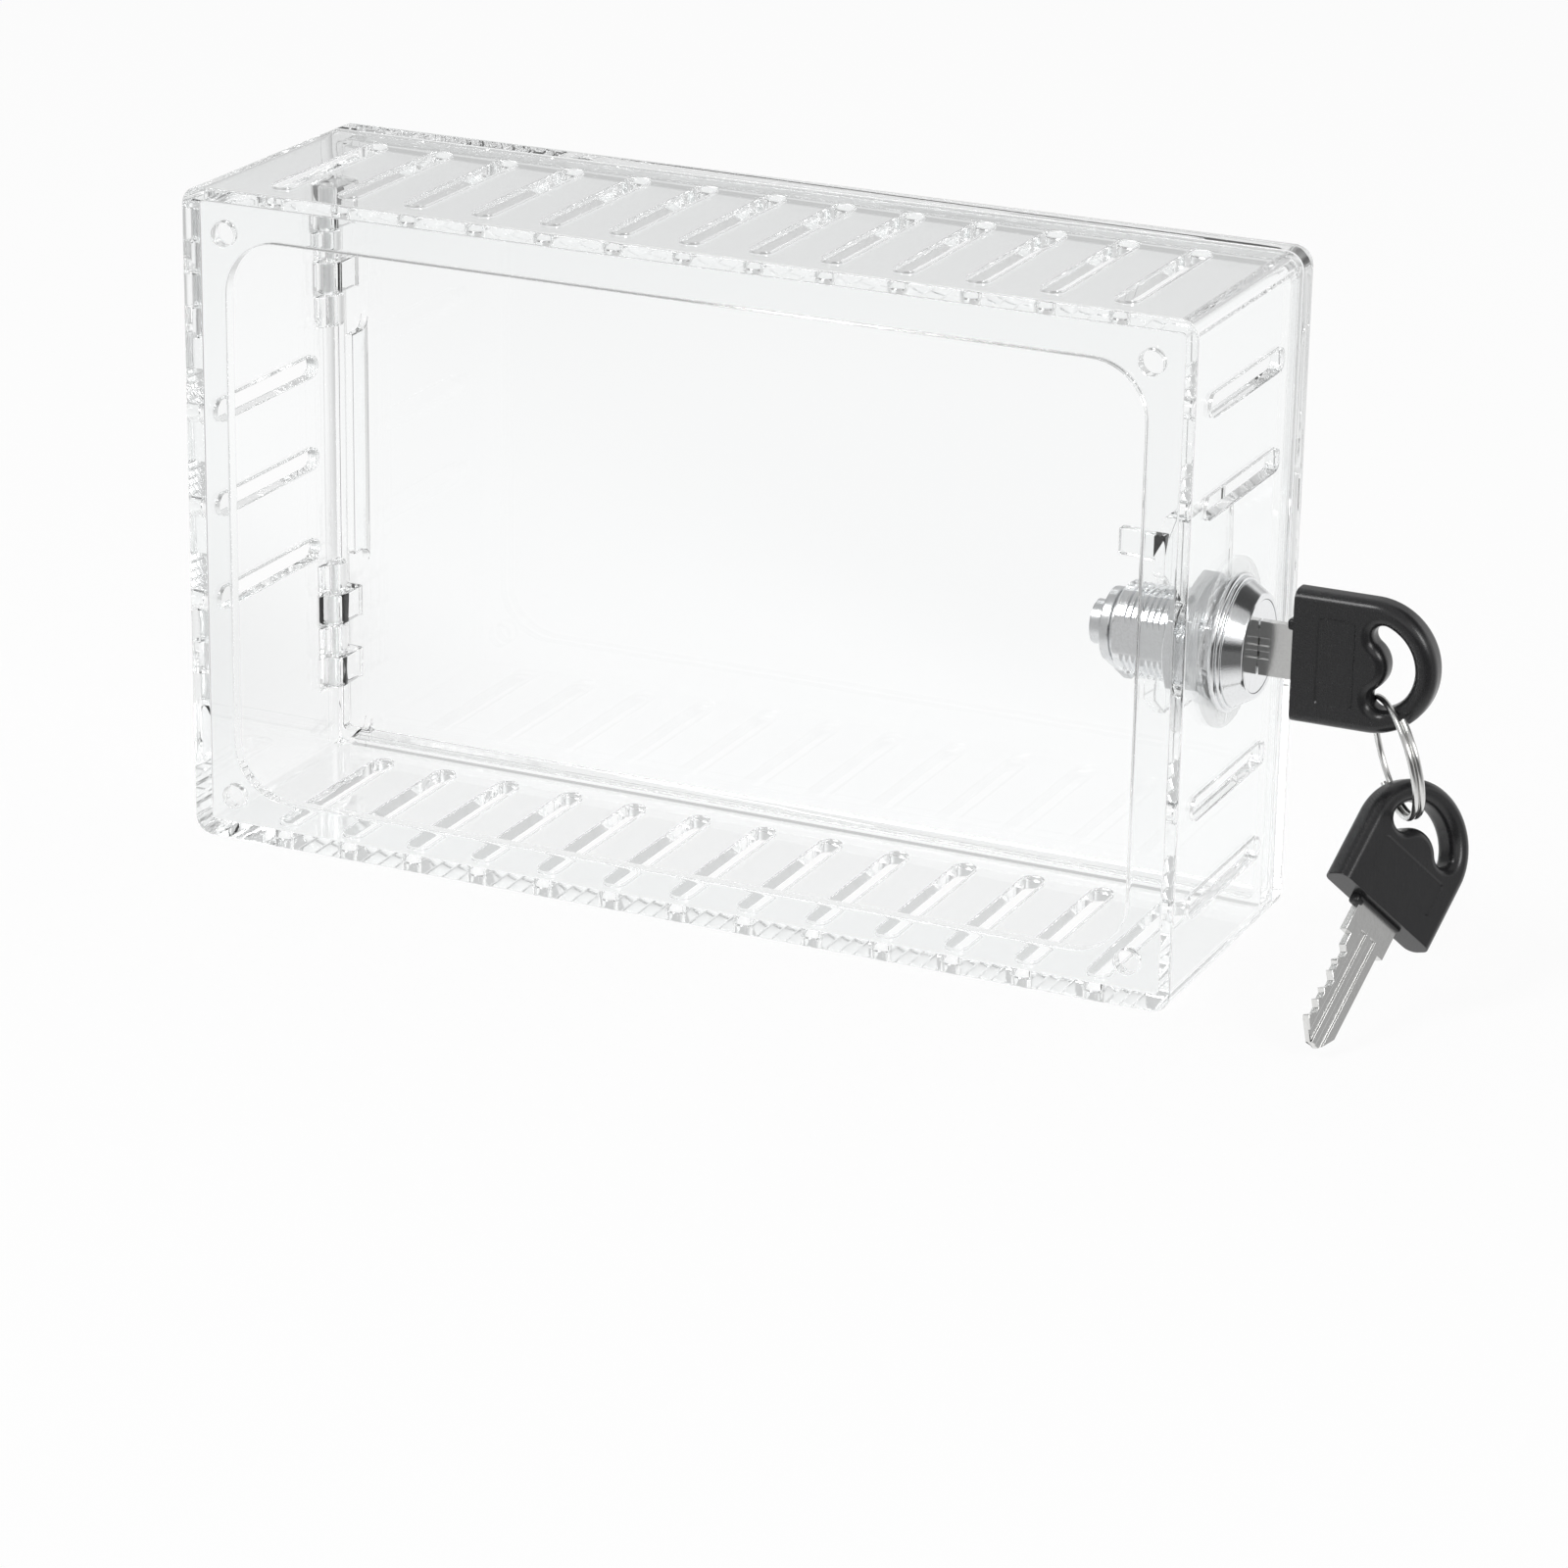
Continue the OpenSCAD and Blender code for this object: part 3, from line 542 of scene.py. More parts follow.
def softened_copy(
    node: bpy.types.Object, width: float, cuts: Iterable[Matrix], segments: int = 2
) -> bmesh.types.BMesh:
    """Copies a CAD node's mesh, merges its flats and rounds its edges.

    A flat face with a hole in it is first cut through the hole, so that no merged face runs all
    round the hole.

    Args:
        node: The CAD node.
        width: How far each edge is cut back, in millimetres.
        cuts: Planes to cut along: each matrix holds a point, and its Z axis is the normal.
        segments: Faces across each rounded edge.

    Returns:
        The softened shape.
    """
    bm = bmesh.new()
    bm.from_mesh(node.data)
    bmesh.ops.remove_doubles(bm, verts=bm.verts, dist=WELD)
    bmesh.ops.dissolve_degenerate(bm, edges=bm.edges, dist=WELD)
    for plane in cuts:
        cut = bmesh.ops.bisect_plane(
            bm,
            geom=bm.verts[:] + bm.edges[:] + bm.faces[:],
            dist=WELD / 2,
            plane_co=plane.translation,
            plane_no=plane.to_3x3().col[2],
        )
        for item in cut["geom_cut"]:
            if isinstance(item, bmesh.types.BMEdge):
                item.seam = True
    flat = math.radians(FLAT_DEGREES)
    bmesh.ops.dissolve_limit(bm, angle_limit=flat, verts=bm.verts, edges=bm.edges, delimit={"SEAM"})
    hard = math.radians(HARD_DEGREES)
    turned = [e for e in bm.edges if len(e.link_faces) == 2 and e.calc_face_angle() > hard]
    round_edges(bm, turned, width, segments)
    for edge in bm.edges:
        edge.seam = False
    # A rounded edge beside a thin step can overshoot the node, and is set back to its box
    limits = [(min(row), max(row)) for row in zip(*(vert.co for vert in node.data.vertices))]
    for vert in bm.verts:
        vert.co = [min(max(value, low), high) for value, (low, high) in zip(vert.co, limits)]
    return bm


def across(axis: str, *places: float) -> list[Matrix]:
    """Planes square to an axis of the row frame, at places in millimetres along it."""
    quarter = math.pi / 2
    turn, step = {
        "X": (Matrix.Rotation(quarter, 4, "Y"), Vector((1, 0, 0))),
        "Y": (Matrix.Rotation(quarter, 4, "X"), Vector((0, 1, 0))),
        "Z": (Matrix(), Vector((0, 0, 1))),
    }[axis]
    return [Matrix.Translation(step * place * MM) @ turn for place in places]


def spun_profile(points: Sequence[tuple[float, float]], steps: int = 96) -> bmesh.types.BMesh:
    """Spins a closed profile of radius and height round the Z axis.

    Args:
        points: Radius and height pairs in millimetres, in order round the profile.
        steps: Faces round the turn.

    Returns:
        The closed solid of revolution, in metres.
    """
    bm = bmesh.new()
    verts, edges = closed_loop(bm, ((r * MM, 0, h * MM) for r, h in points))
    bmesh.ops.spin(
        bm,
        geom=verts + edges,
        cent=(0, 0, 0),
        axis=(0, 0, 1),
        angle=2 * math.pi,
        steps=steps,
        use_merge=True,
        use_duplicate=False,
    )
    bmesh.ops.remove_doubles(bm, verts=bm.verts, dist=WELD)
    bmesh.ops.dissolve_degenerate(bm, edges=bm.edges, dist=WELD / 2)
    return bm


def arc(centre: tuple[float, float], radius: float, start: float, end: float, count: int) -> list:
    """Points on an arc, its ends included.

    Args:
        centre: The arc's centre.
        radius: Its radius.
        start: First angle in degrees.
        end: Last angle in degrees.
        count: Points on the arc.

    Returns:
        The points, as pairs.
    """
    angles = [math.radians(start + (end - start) * i / (count - 1)) for i in range(count)]
    return [(centre[0] + radius * math.cos(a), centre[1] + radius * math.sin(a)) for a in angles]


# The clear shells


@dataclass
class ClearShells:
    """The housing and the door, with the moulded edges that catch the light."""

    frame: dict
    finishes: dict
    edge_round: float = 0.35
    slot_pitch: float = 15.3
    slot_count: int = 13
    side_slot_pitch: float = 20.4
    side_slot_rows: tuple = (-2.5, -1.5, -1, 0, 1, 1.5, 2.5)
    screw_x: float = 100.7
    screw_z: float = 60.7
    lock_y: float = -24.0

    def cuts(self) -> list[Matrix]:
        """Planes through every slot, screw hole and knuckle bore, and through the middle."""
        middle = (self.slot_count - 1) / 2
        slots = [(i - middle) * self.slot_pitch for i in range(self.slot_count)]
        rows = [n * self.side_slot_pitch for n in self.side_slot_rows]
        hinge_x, hinge_y, _ = joint_place(self.frame, "door_hinge")
        return (
            across("X", *slots, -self.screw_x, self.screw_x, hinge_x / MM)
            + across("Z", *rows, -self.screw_z, self.screw_z)
            + across("Y", self.lock_y, hinge_y / MM)
        )

    def build(self) -> list[bpy.types.Object]:
        """Makes both shells."""
        pieces = []
        clear = self.finishes[Slot.CLEAR]
        for node, body in (("housing", Body.BOX), ("door", Body.DOOR)):
            bm = softened_copy(self.frame["nodes"][node], self.edge_round, self.cuts(), segments=3)
            piece = finish_mesh(bm, f"clear_{node}", body, clear, [node], outward=False)
            pieces.append(piece)
        return pieces


# The lock


@dataclass
class CamLock:
    """The chrome body, its washers and nut, and the plug with its cam."""

    frame: dict
    finishes: dict
    bezel_d: float = 27.8
    rim_d: float = 20.8
    washer_t: float = 1.0
    bezel_u: float = 6.9
    barrel_d: float = 18.8
    barrel_len: float = 21.0
    barrel_flat: float = 16.4
    thread_pitch: float = 1.25
    thread_depth: float = 0.5
    thread_sunk: float = 0.15
    thread_start: float = 0.3
    thread_steps: int = 72
    bore_r: float = 6.55
    face_r: float = 9.25
    face_gap: float = 0.1
    plug_head_u: float = 5.4
    plug_clear: float = 0.1
    face_drop: float = 0.15
    foot_inset: float = 0.25
    # Each ridge: inset and rise of its centre, radius, first and last angle, points
    ridges: tuple = (
        (0.65, 0.6, 0.65, -35, 75, 7),
        (1.3, 1.55, 0.62, -20, 70, 6),
        (1.75, 2.25, 0.45, -10, 60, 5),
    )
    valleys: tuple = ((0.8, 1.15), (1.4, 2.05))
    lip: tuple = ((0.2, 0.45), (-0.1, 0.08), (-0.35, 0.0), (-0.7, 0.02))
    thread_rise: tuple = (0.3, 0.5, 0.8)
    flat_sunk: float = 0.02
    barrel_edge: float = 0.3

    def matrix(self) -> Matrix:
        """Places the lock's own frame: Z out of the side wall, X up, Y into the wall."""
        x, y, z = joint_place(self.frame, "plug_turn")
        return Matrix(((0, 0, -1, x), (0, 1, 0, y), (1, 0, 0, z), (0, 0, 0, 1)))

    def cuts(self) -> list[Matrix]:
        """Two planes through the lock's axis."""
        centre = self.matrix().translation / MM
        return across("Y", centre.y) + across("Z", centre.z)

    def bezel(self) -> bpy.types.Object:
        """Spins the stepped bezel. The barrel behind it is a mesh of its own."""
        r, w, u = self.bezel_d / 2, self.washer_t, self.bezel_u
        rim, face = self.rim_d / 2, self.face_r + self.face_gap
        profile = [(self.bore_r, w), (r - self.foot_inset, w)]
        for (inset, rise, radius, first, last, count), valley in zip(self.ridges, (*self.valleys, None)):
            profile += arc((r - inset, w + rise), radius, first, last, count)
            if valley:
                profile.append((r - valley[0], w + valley[1]))
        profile += [(rim + out, u - down) for out, down in self.lip]
        seat = self.plug_head_u - self.plug_clear
        profile += [(face, u - self.face_drop), (face, seat), (self.bore_r, seat)]
        bm = spun_profile(profile, steps=128)
        bmesh.ops.transform(bm, matrix=self.matrix(), verts=bm.verts)
        return finish_mesh(bm, "lock_bezel", Body.BOX, self.finishes[Slot.CHROME])

    def thread(self) -> bmesh.types.BMesh:
        """Screws a closed ridge down the barrel and cuts it off at the two flats."""
        crest, p = self.barrel_d / 2, self.thread_pitch
        foot = crest - self.thread_depth - self.thread_sunk
        turns = int((self.barrel_len + self.washer_t) / p) - 1
        top = self.washer_t - self.thread_start
        bm = bmesh.new()
        up, over, down = self.thread_rise
        ridge = [(foot, 0.0), (crest, up * p), (crest, over * p), (foot, down * p)]
        verts, edges = closed_loop(bm, ((r * MM, 0, (top - h) * MM) for r, h in ridge))
        bmesh.ops.spin(
            bm,
            geom=verts + edges,
            cent=(0, 0, 0),
            axis=(0, 0, 1),
            dvec=(0, 0, -p * MM / self.thread_steps),
            angle=2 * math.pi * turns,
            steps=self.thread_steps * turns,
            use_merge=False,
            use_duplicate=False,
        )
        for side in (-1, 1):
            bmesh.ops.bisect_plane(
                bm,
                geom=bm.verts[:] + bm.edges[:] + bm.faces[:],
                dist=WELD / 4,
                plane_co=(0, side * (self.barrel_flat / 2 - self.flat_sunk) * MM, 0),
                plane_no=(0, side, 0),
                clear_outer=True,
            )
        bmesh.ops.holes_fill(bm, edges=[e for e in bm.edges if e.is_boundary], sides=0)
        return bm

    def core(self) -> bmesh.types.BMesh:
        """Spins the hollow barrel that carries the thread and presses its two flats."""
        root, end, edge = self.barrel_d / 2 - self.thread_depth, -self.barrel_len, self.barrel_edge
        bm = spun_profile(
            [
                (self.bore_r, self.washer_t),
                (root, self.washer_t),
                (root, end + edge),
                (root - edge, end),
                (self.bore_r + edge, end),
                (self.bore_r, end + edge),
            ],
            steps=self.thread_steps,
        )
        flat = self.barrel_flat / 2 * MM
        for vert in bm.verts:
            vert.co.y = max(-flat, min(flat, vert.co.y))
        return bm

    def barrel(self) -> bpy.types.Object:
        """Joins the thread to its core."""
        bm = self.core()
        mesh = bpy.data.meshes.new("thread")
        ridge = self.thread()
        ridge.to_mesh(mesh)
        ridge.free()
        bm.from_mesh(mesh)
        bpy.data.meshes.remove(mesh)
        bmesh.ops.transform(bm, matrix=self.matrix(), verts=bm.verts)
        return finish_mesh(bm, "lock_barrel", Body.BOX, self.finishes[Slot.CHROME])

    def softened(self) -> list[bpy.types.Object]:
        """Rounds the edges of the small flat pieces."""
        rows = (
            ("bezel_washer", Body.BOX, Slot.WASHER, 0.2),
            ("tooth_washer", Body.BOX, Slot.ZINC, 0.08),
            ("lock_nut", Body.BOX, Slot.CHROME, 0.2),
            ("face_cap", Body.PLUG, Slot.CHROME, 0.12),
            ("plug", Body.PLUG, Slot.PLUG, 0.05),
            ("stop_washer", Body.PLUG, Slot.ZINC, 0.12),
            ("cam", Body.PLUG, Slot.ZINC, 0.25),
            ("spring_washer", Body.PLUG, Slot.ZINC, 0.1),
            ("cam_screw", Body.PLUG, Slot.ZINC, 0.15),
        )
        pieces = []
        for node, body, slot, width in rows:
            bm = softened_copy(self.frame["nodes"][node], width, self.cuts())
            finish = self.finishes[slot]
            pieces.append(finish_mesh(bm, f"{node}_piece", body, finish, [node], outward=False))
        return pieces

    def build(self) -> list[bpy.types.Object]:
        """Makes every piece of the lock."""
        bezel = self.bezel()
        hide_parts("lock_body")
        return [bezel, self.barrel(), *self.softened()]


# The keys


@dataclass
class Key:
    """One flat key with a moulded head, in its own frame: Z to the tip, X across, Y through it."""

    finishes: dict
    name: str
    body: Body
    place: Matrix
    blade_node: bpy.types.Object
    nodes: tuple
    head_w: float = 27.0
    head_t: float = 6.6
    head_rim: float = 4.5
    hole_centre_u: float = 15.5
    lobe_u: float = 18.0
    lobe_r: float = 2.2
    tongue_u: float = 19.1
    rim_in: float = 2.1
    rim_up: float = 2.4
    rim_steps: int = 7
    past_end: float = 5.0
    panel_w: float = 18.0
    panel_u: tuple = (5.0, 12.8)
    panel_round: float = 1.2
    panel_slope: float = 0.3
    panel_deep: float = 0.35
    collar: tuple = (11.8, 3.0, 1.4)
    nub_x: float = -5.7
    nub_r: float = 1.15
    collar_soft: float = 0.3
    end_round: float = 0.2
    blade_round: float = 0.12

    def head_outlines(self) -> tuple[list, list, list]:
        """Works out the head's outer edge, its hole and its panel.

        The hole is a half disc with a round tongue rising into it, and small round lobes join the two.

        Returns:
            The three loops, as (x, z) pairs in millimetres.
        """
        half, u = self.head_w / 2, self.hole_centre_u
        outer = arc((0, -u), half, 180, 360, 49) + [(half, self.past_end), (-half, self.past_end)]
        hole_r, lobe_r, lobe_u = half - self.head_rim, self.lobe_r, self.lobe_u
        lobe_x = math.sqrt((hole_r - lobe_r) ** 2 - (lobe_u - u) ** 2)
        reach = self.tongue_u + lobe_r
        tongue_u = (reach**2 - lobe_u**2 - lobe_x**2) / (2 * (reach - lobe_u))
        by_hole = math.degrees(math.atan2(lobe_u - u, lobe_x))
        by_tongue = math.degrees(math.atan2(lobe_u - tongue_u, lobe_x))
        hole = (
            arc((lobe_x, -lobe_u), lobe_r, -by_hole, 180 - by_tongue, 13)
            + arc((0, -tongue_u), self.tongue_u - tongue_u, -by_tongue, by_tongue - 180, 17)[1:-1]
            + arc((-lobe_x, -lobe_u), lobe_r, by_tongue, 180 + by_hole, 13)
            + arc((0, -u), hole_r, 180 + by_hole, 360 - by_hole, 33)[1:-1]
        )
        r = self.panel_round
        x, (near, far) = self.panel_w / 2 - r, self.panel_u
        corners = ((x, -near - r, 0), (-x, -near - r, 90), (-x, -far + r, 180), (x, -far + r, 270))
        panel = [point for cx, cz, a in corners for point in arc((cx, cz), r, a, a + 90, 5)]
        return outer, hole, panel

    def head(self) -> bpy.types.Object:
        """Extrudes the head, rolls its rims round, sinks its panels and cuts its straight end."""
        loops = self.head_outlines()
        straight = self.head_t / 2 - self.rim_up
        bm = bmesh.new()
        edges = []
        for points in loops:
            verts, sides = closed_loop(bm, ((x * MM, -straight * MM, z * MM) for x, z in points))
            edges += sides
        bmesh.ops.triangle_fill(bm, use_beauty=True, use_dissolve=False, edges=edges)
        bmesh.ops.dissolve_limit(bm, angle_limit=0.01, verts=bm.verts, edges=bm.edges)
        bm.faces.new(verts)
        bmesh.ops.recalc_face_normals(bm, faces=bm.faces)
        result = bmesh.ops.extrude_face_region(bm, geom=bm.faces[:] + bm.edges[:] + bm.verts[:])
        moved = [v for v in result["geom"] if isinstance(v, bmesh.types.BMVert)]
        bmesh.ops.translate(bm, vec=(0, 2 * straight * MM, 0), verts=moved)
        bmesh.ops.recalc_face_normals(bm, faces=bm.faces)
        for side in (-1, 1):
            level = 0.9 * straight * MM
            cap = [f for f in bm.faces if all(side * v.co.y > level for v in f.verts)]
            self.roll_rims(bm, cap, side)
        panels = [f for f in bm.faces if len(f.verts) == len(loops[2])]
        bmesh.ops.inset_individual(
            bm,
            faces=panels,
            thickness=self.panel_slope * MM,
            depth=-self.panel_deep * MM,
            use_even_offset=True,
        )
        self.cut_end(bm)
        self.add_collar(bm)
        bmesh.ops.transform(bm, matrix=self.place, verts=bm.verts)
        finish = self.finishes[Slot.BLACK]
        return finish_mesh(bm, f"{self.name}_head", self.body, finish, [self.nodes[1]])

    def roll_rims(self, bm: bmesh.types.BMesh, cap: list[bmesh.types.BMFace], side: int) -> None:
        """Insets the cap on one side in steps that follow a quarter round."""
        turns = [math.pi / 2 * i / self.rim_steps for i in range(self.rim_steps + 1)]
        for a, b in zip(turns, turns[1:]):
            bmesh.ops.inset_region(
                bm,
                faces=cap,
                use_boundary=True,
                use_even_offset=True,
                thickness=self.rim_in * (math.cos(a) - math.cos(b)) * MM,
            )
            raised = side * self.rim_up * (math.sin(b) - math.sin(a)) * MM
            bmesh.ops.translate(bm, vec=(0, raised, 0), verts=list({v for f in cap for v in f.verts}))

    def cut_end(self, bm: bmesh.types.BMesh) -> None:
        """Cuts the head off flat where the blade leaves it, and breaks the edge."""
        everything = bm.verts[:] + bm.edges[:] + bm.faces[:]
        bmesh.ops.bisect_plane(
            bm, geom=everything, dist=WELD / 4, plane_co=(0, 0, 0), plane_no=(0, 0, 1), clear_outer=True
        )
        filled = bmesh.ops.holes_fill(bm, edges=[e for e in bm.edges if e.is_boundary], sides=0)
        rim = list({e for face in filled["faces"] for e in face.edges})
        round_edges(bm, rim, self.end_round)

    def add_collar(self, bm: bmesh.types.BMesh) -> None:
        """Adds the low collar where the blade leaves the head, with a nub on the side of the cuts."""
        nub = 2 * self.nub_r
        blocks = (
            ((0, 0, 0), self.collar),
            ((self.nub_x, 0, self.nub_r * 0.6), (nub, nub * 1.1, nub)),
        )
        for at, size in blocks:
            made = bmesh.ops.create_cube(bm, size=1.0)
            scale = Matrix.Diagonal((*(Vector(size) * MM), 1))
            place = Matrix.Translation(Vector(at) * MM) @ scale
            bmesh.ops.transform(bm, matrix=place, verts=made["verts"])
            edges = list({e for v in made["verts"] for e in v.link_edges})
            round_edges(bm, edges, self.collar_soft * min(size), segments=4)

    def blade(self) -> bpy.types.Object:
        """Rounds the edges of the cut blade."""
        bm = softened_copy(self.blade_node, self.blade_round, ())
        finish, nodes = self.finishes[Slot.NICKEL], [self.nodes[0]]
        return finish_mesh(bm, f"{self.name}_blade", self.body, finish, nodes, outward=False)

    def build(self) -> list[bpy.types.Object]:
        """Makes the head and the blade."""
        return [self.head(), self.blade()]


@dataclass
class SplitRing:
    """A wire ring that goes round one and a half times, its two turns side by side."""

    finishes: dict
    place: Matrix
    ring_d: float = 24.4
    wire_d: float = 1.3
    start: float = 125.0
    doubled: float = 190.0
    crossing: float = 275.0
    crossing_soft: float = 22.0
    steps: int = 220
    sides: int = 14

    def wire_at(self, step: int) -> Vector:
        """The wire's centre at a step along it, in the ring's own frame."""
        angle = (360.0 + self.doubled) * min(max(step, 0), self.steps) / self.steps
        side = self.wire_d / 2 * math.tanh((angle - self.crossing) / self.crossing_soft)
        a = math.radians(angle + self.start)
        radius = self.ring_d / 2
        return Vector((radius * math.cos(a), side, radius * math.sin(a))) * MM

    def lay_section(self, verts: Sequence[bmesh.types.BMVert], step: int) -> None:
        """Sets a section's vertices square to the wire at a step."""
        here = self.wire_at(step)
        ahead = (self.wire_at(step + 1) - self.wire_at(step - 1)).normalized()
        out = Vector((here.x, 0, here.z)).normalized()
        side = ahead.cross(out).normalized()
        for i, vert in enumerate(verts):
            a = 2 * math.pi * i / len(verts)
            vert.co = here + self.wire_d / 2 * MM * (math.cos(a) * out + math.sin(a) * side)

    def build(self) -> bpy.types.Object:
        """Extrudes a round section along the wire, between its two cut ends."""
        bm = bmesh.new()
        wire_r = self.wire_d / 2 * MM
        section = bmesh.ops.create_circle(bm, cap_ends=True, radius=wire_r, segments=self.sides)
        face = bm.faces[:][0]
        self.lay_section(section["verts"], 0)
        for step in range(1, self.steps + 1):
            made = bmesh.ops.extrude_face_region(bm, geom=[face])["geom"]
            if step > 1:
                bmesh.ops.delete(bm, geom=[face], context="FACES_ONLY")
            face = next(g for g in made if isinstance(g, bmesh.types.BMFace))
            self.lay_section([loop.vert for loop in face.loops], step)
        bmesh.ops.transform(bm, matrix=self.place, verts=bm.verts)
        finish = self.finishes[Slot.NICKEL]
        return finish_mesh(bm, "wire_ring", Body.RING, finish, ["split_ring"])


# The studio


@dataclass
class Studio:
    """Camera, lamps, floor and surroundings."""

    groups: Groups
    camera_at: tuple = (-444.97, 913.13, 334.19)
    look: tuple = (0.39086, -0.85301, -0.34582)
    roll: float = 1.0
    focal_px: float = 5481.0
    photo_px: float = 1600.0
    sensor: float = 36.0
    floor_z: float = -70.0
    lock_at: tuple = (-0.11, -0.024, 0.0)
    near_floor: float = 0.08
    far_floor: float = 0.19
    seen_through: float = 0.8
    floor_glow: float = 0.9
    overhead: float = 0.5
    plain_level: float = 0.62
    deepest_path: int = 64
    clip: tuple = (0.01, 20.0)
    floor_half: float = 6.0
    floor_gap: float = 0.05
    floor_colour: tuple = (0.85, 0.85, 0.85, 1)
    overhead_rise: tuple = (0.4, 0.85)
    lamps: tuple = (("key_lamp", (0.5, 0.9, 1.3), 0.6, 9.0), ("side_lamp", (-1.3, 0.5, 0.7), 0.5, 5.0))

    def camera(self) -> None:
        """Makes the camera at the photograph's viewing angle."""
        forward = Vector(self.look).normalized()
        level = forward.cross(Vector((0, 0, 1))).normalized()
        upright = level.cross(forward)
        a = math.radians(self.roll)
        right = level * math.cos(a) + upright * math.sin(a)
        up = upright * math.cos(a) - level * math.sin(a)
        data = bpy.data.cameras.new("camera")
        data.sensor_fit = "HORIZONTAL"
        data.sensor_width = self.sensor
        data.lens = self.focal_px / self.photo_px * self.sensor
        data.clip_start, data.clip_end = self.clip
        camera = bpy.data.objects.new("camera", data)
        axes = Matrix((right, up, -forward)).transposed().to_4x4()
        camera.matrix_world = Matrix.Translation(Vector(self.camera_at) * MM) @ axes
        bpy.context.scene.collection.objects.link(camera)
        bpy.context.scene.camera = camera

    def floor(self) -> None:
        """Lays a pale floor that shows white and keeps a soft shadow."""
        bm = bmesh.new()
        bmesh.ops.create_grid(bm, x_segments=1, y_segments=1, size=self.floor_half)
        bmesh.ops.translate(bm, vec=(0, 0, (self.floor_z - self.floor_gap) * MM), verts=bm.verts)
        mesh = bpy.data.meshes.new("floor")
        bm.to_mesh(mesh)
        bm.free()
        floor = bpy.data.objects.new("floor", mesh)
        bpy.context.scene.collection.objects.link(floor)
        material, build = start_material("pale_floor")
        place = build.add("ShaderNodeTexCoord").outputs["Object"]
        shifted = {0: place, 1: self.lock_at}
        from_lock = build.add("ShaderNodeVectorMath", shifted, operation="SUBTRACT").outputs[0]
        away = build.add("ShaderNodeVectorMath", {0: from_lock}, operation="LENGTH").outputs["Value"]
        reach = {0: away, 1: self.near_floor, 2: self.far_floor}
        far = build.add("ShaderNodeMapRange", reach, interpolation_type="SMOOTHSTEP").outputs[0]
        level = self.room_level(build, from_lock, far)
        matt = build.add("ShaderNodeBsdfDiffuse", {"Color": self.floor_colour})
        glow = build.add("ShaderNodeEmission", {"Color": level, "Strength": 1.0})
        path = build.add("ShaderNodeLightPath")
        direct = build.math("MAXIMUM", path.outputs["Is Camera Ray"], path.outputs["Is Glossy Ray"])
        seen = build.math("MAXIMUM", direct, path.outputs["Is Transmission Ray"])
        share = build.math("MULTIPLY", seen, self.floor_glow)
        mixed = build.add("ShaderNodeMixShader", {0: share, 1: matt.outputs[0], 2: glow.outputs[0]})
        build.add("ShaderNodeOutputMaterial", {"Surface": mixed.outputs[0]})
        mesh.materials.append(material)

    def room_level(
        self, build: NodeBuilder, direction: bpy.types.NodeSocket, far: bpy.types.NodeSocket | float
    ) -> bpy.types.NodeSocket:
        """Adds the studio's level: white to the camera, with its dark cards in reflections.

        Args:
            build: The tree's builder.
            direction: Which way to look up.
            far: 0 where the level stays white, 1 where the cards count in full.

        Returns:
            The level.
        """
        cards = build.add("ShaderNodeGroup", {"Direction": direction}, node_tree=self.groups.cards)
        path = build.add("ShaderNodeLightPath")
        # A ray that has passed clear plastic counts as glossy too
        less = build.math("MULTIPLY", path.outputs["Is Transmission Ray"], 1.0 - self.seen_through)
        share = build.math("SUBTRACT", path.outputs["Is Glossy Ray"], less, clamp=True)
        dark = build.math("MULTIPLY", cards.outputs["Darkness"], build.math("MULTIPLY", share, far))
        return build.math("SUBTRACT", 1.0, dark, clamp=True)

    def surroundings(self) -> None:
        """Builds the world: white to the camera, panels to reflections, plain light to surfaces."""
        world = bpy.data.worlds.new("studio")
        bpy.context.scene.world = world
        world.use_nodes = True
        tree = world.node_tree
        tree.nodes.clear()
        build = NodeBuilder(tree)
        direction = build.add("ShaderNodeTexCoord").outputs["Generated"]
        level = self.room_level(build, direction, 1.0)
        split = build.add("ShaderNodeSeparateXYZ", {0: direction})
        path = build.add("ShaderNodeLightPath")
        bent = build.math("MAXIMUM", path.outputs["Is Glossy Ray"], path.outputs["Is Transmission Ray"])
        low, high = self.overhead_rise
        overhead = build.add(
            "ShaderNodeMapRange",
            {0: split.outputs["Z"], 1: low, 2: high, 3: 0.0, 4: 1.0 - self.overhead},
            interpolation_type="SMOOTHSTEP",
        ).outputs[0]
        kept = build.math("SUBTRACT", 1.0, build.math("MULTIPLY", overhead, bent))
        level = build.math("MULTIPLY", level, kept)
        strength = build.add(
            "ShaderNodeMix",
            {"Factor": path.outputs["Is Diffuse Ray"], 2: level, 3: self.plain_level},
            data_type="FLOAT",
        )
        back = build.add("ShaderNodeBackground", {"Color": (1, 1, 1, 1), "Strength": strength.outputs[0]})
        build.add("ShaderNodeOutputWorld", {"Surface": back.outputs[0]})

    def lamp(self, name: str, at: tuple, size: float, watts: float) -> None:
        """Hangs a soft square lamp that points at the box.

        Args:
            name: The lamp's name.
            at: Its place in metres.
            size: The side of its panel in metres.
            watts: Its power.
        """
        data = bpy.data.lights.new(name, "AREA")
        data.shape = "SQUARE"
        data.size = size
        data.energy = watts
        lamp = bpy.data.objects.new(name, data)
        lamp.location = at
        lamp.rotation_euler = (-Vector(at)).to_track_quat("-Z", "Y").to_euler()
        bpy.context.scene.collection.objects.link(lamp)

    def build(self) -> None:
        """Sets the whole studio up."""
        self.camera()
        self.floor()
        self.surroundings()
        for lamp in self.lamps:
            self.lamp(*lamp)
        scene = bpy.context.scene
        scene.view_settings.view_transform = "Standard"
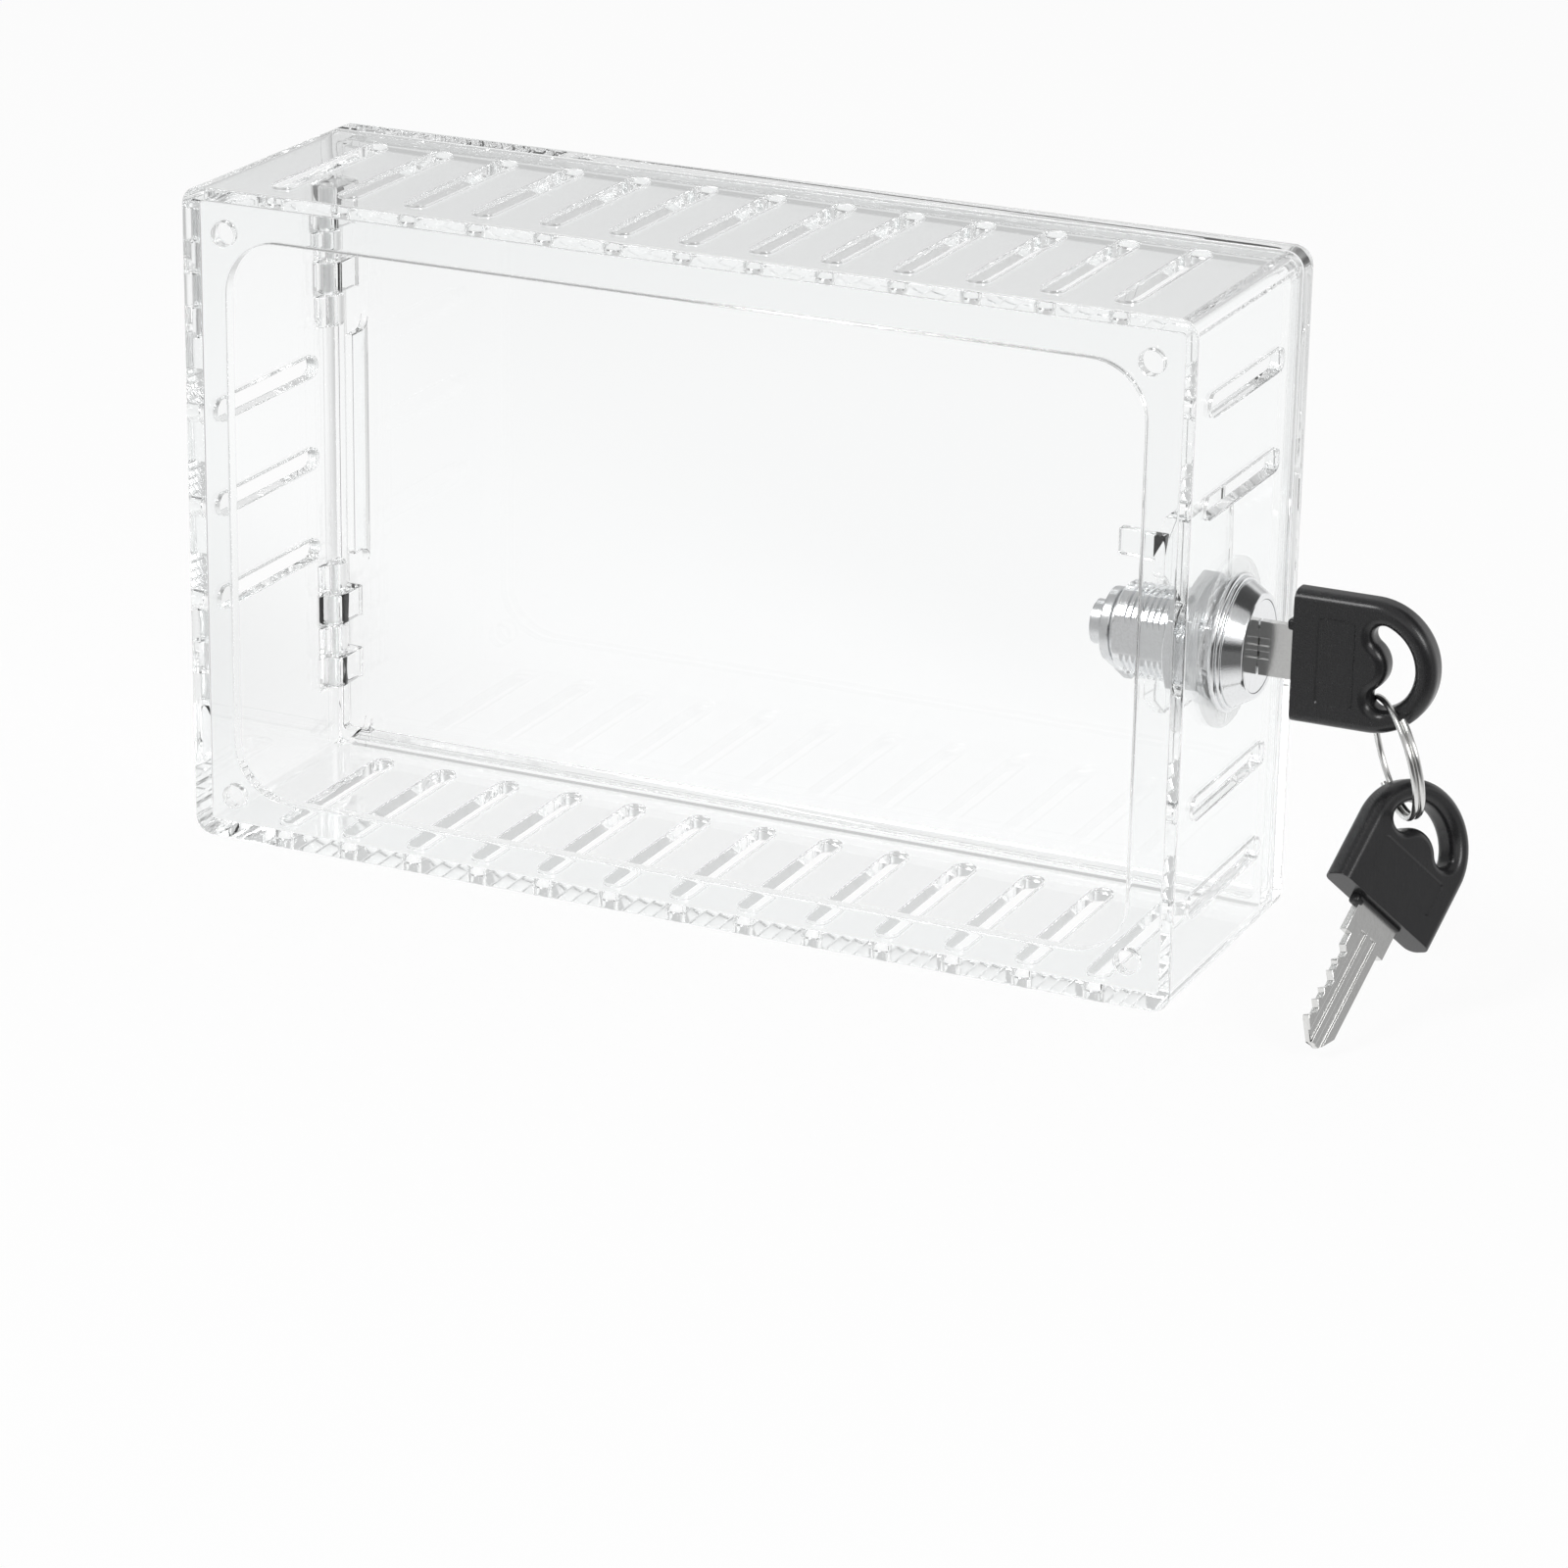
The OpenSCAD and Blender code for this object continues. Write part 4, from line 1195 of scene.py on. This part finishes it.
        # Light runs along inside the clear walls, so its paths are long
        scene.cycles.max_bounces = self.deepest_path
        scene.cycles.glossy_bounces = self.deepest_path
        scene.cycles.transmission_bounces = self.deepest_path
        scene.cycles.transparent_max_bounces = self.deepest_path


def key_matrix(lock: Matrix, head_u: float) -> Matrix:
    """Places the key in the lock, its head's straight edge head_u millimetres outside the wall."""
    return lock @ Matrix.Translation((0, 0, head_u * MM)) @ Matrix.Rotation(math.pi, 4, "Y")


@dataclass
class Hanging:
    """How the ring and the spare key hang, in degrees and millimetres."""

    frame: dict
    ring_yaw: float = -51.4
    ring_lean: float = 12.0
    spare_yaw: float = 62.0
    spare_tilt: float = 19.0
    spare_lean: float = 47.0
    spare_seat: float = 2.1

    def joint_at(self, name: str) -> Vector:
        """Where a joint is, in metres, as a vector."""
        return Vector(joint_place(self.frame, name))

    def ring_matrix(self) -> Matrix:
        """Places the ring's own frame: its middle at the origin, Z up its lean, Y through it."""
        turn = Matrix.Rotation(math.radians(self.ring_yaw), 4, "Z")
        lean = Matrix.Rotation(math.radians(-self.ring_lean), 4, "X")
        drop = Matrix.Translation((0, 0, -SplitRing.ring_d / 2 * MM))
        return Matrix.Translation(self.joint_at("ring_swing")) @ turn @ lean @ drop

    def spare_matrix(self) -> Matrix:
        """Places the spare key's own frame."""
        yaw, tilt = math.radians(self.spare_yaw), math.radians(self.spare_tilt)
        up = Vector((math.sin(yaw) * math.sin(tilt), -math.cos(yaw) * math.sin(tilt), math.cos(tilt)))
        hole_r = Key.head_w / 2 - Key.head_rim
        hole = self.joint_at("spare_swing") - (hole_r - self.spare_seat) * MM * up
        return (
            Matrix.Translation(hole)
            @ Matrix.Rotation(yaw, 4, "Z")
            @ Matrix.Rotation(tilt, 4, "X")
            @ Matrix.Rotation(math.radians(180 - self.spare_lean), 4, "Y")
            @ Matrix.Translation((0, 0, Key.hole_centre_u * MM))
        )


def dress_cad(frame: dict, finishes: dict, rows: Iterable[tuple[str, Slot]]) -> None:
    """Gives CAD nodes that stay their finish."""
    for node, slot in rows:
        piece = frame["nodes"][node]
        piece.material_slots[0].material = finishes[slot]
        LOG.info("%s: CAD node in %s", node, slot.value)


def main() -> None:
    """Builds the studio and every piece of the box."""
    logging.basicConfig(level=logging.INFO, format="%(name)s %(message)s")
    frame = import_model()
    groups = Groups()
    Studio(groups).build()
    finishes = all_finishes(groups)
    ClearShells(frame, finishes).build()
    lock = CamLock(frame, finishes)
    lock.build()
    nodes = frame["nodes"]
    head_u = -(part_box("key_head")[1].x - lock.matrix().translation.x) / MM + CAD_COLLAR_H
    Key(
        finishes,
        "lock_key",
        Body.KEY,
        key_matrix(lock.matrix(), head_u),
        nodes["key_blade"],
        ("key_blade", "key_head"),
    ).build()
    hanging = Hanging(frame)
    SplitRing(finishes, hanging.ring_matrix()).build()
    Key(
        finishes,
        "hanging_key",
        Body.SPARE,
        hanging.spare_matrix(),
        nodes["spare_blade"],
        ("spare_blade", "spare_head"),
    ).build()
    dress_cad(
        frame,
        finishes,
        (
            ("upper_hinge_pin", Slot.STEEL),
            ("lower_hinge_pin", Slot.STEEL),
            ("wafers", Slot.BRASS),
            ("wafer_springs", Slot.STEEL),
        ),
    )


if __name__ == "__main__":
    main()
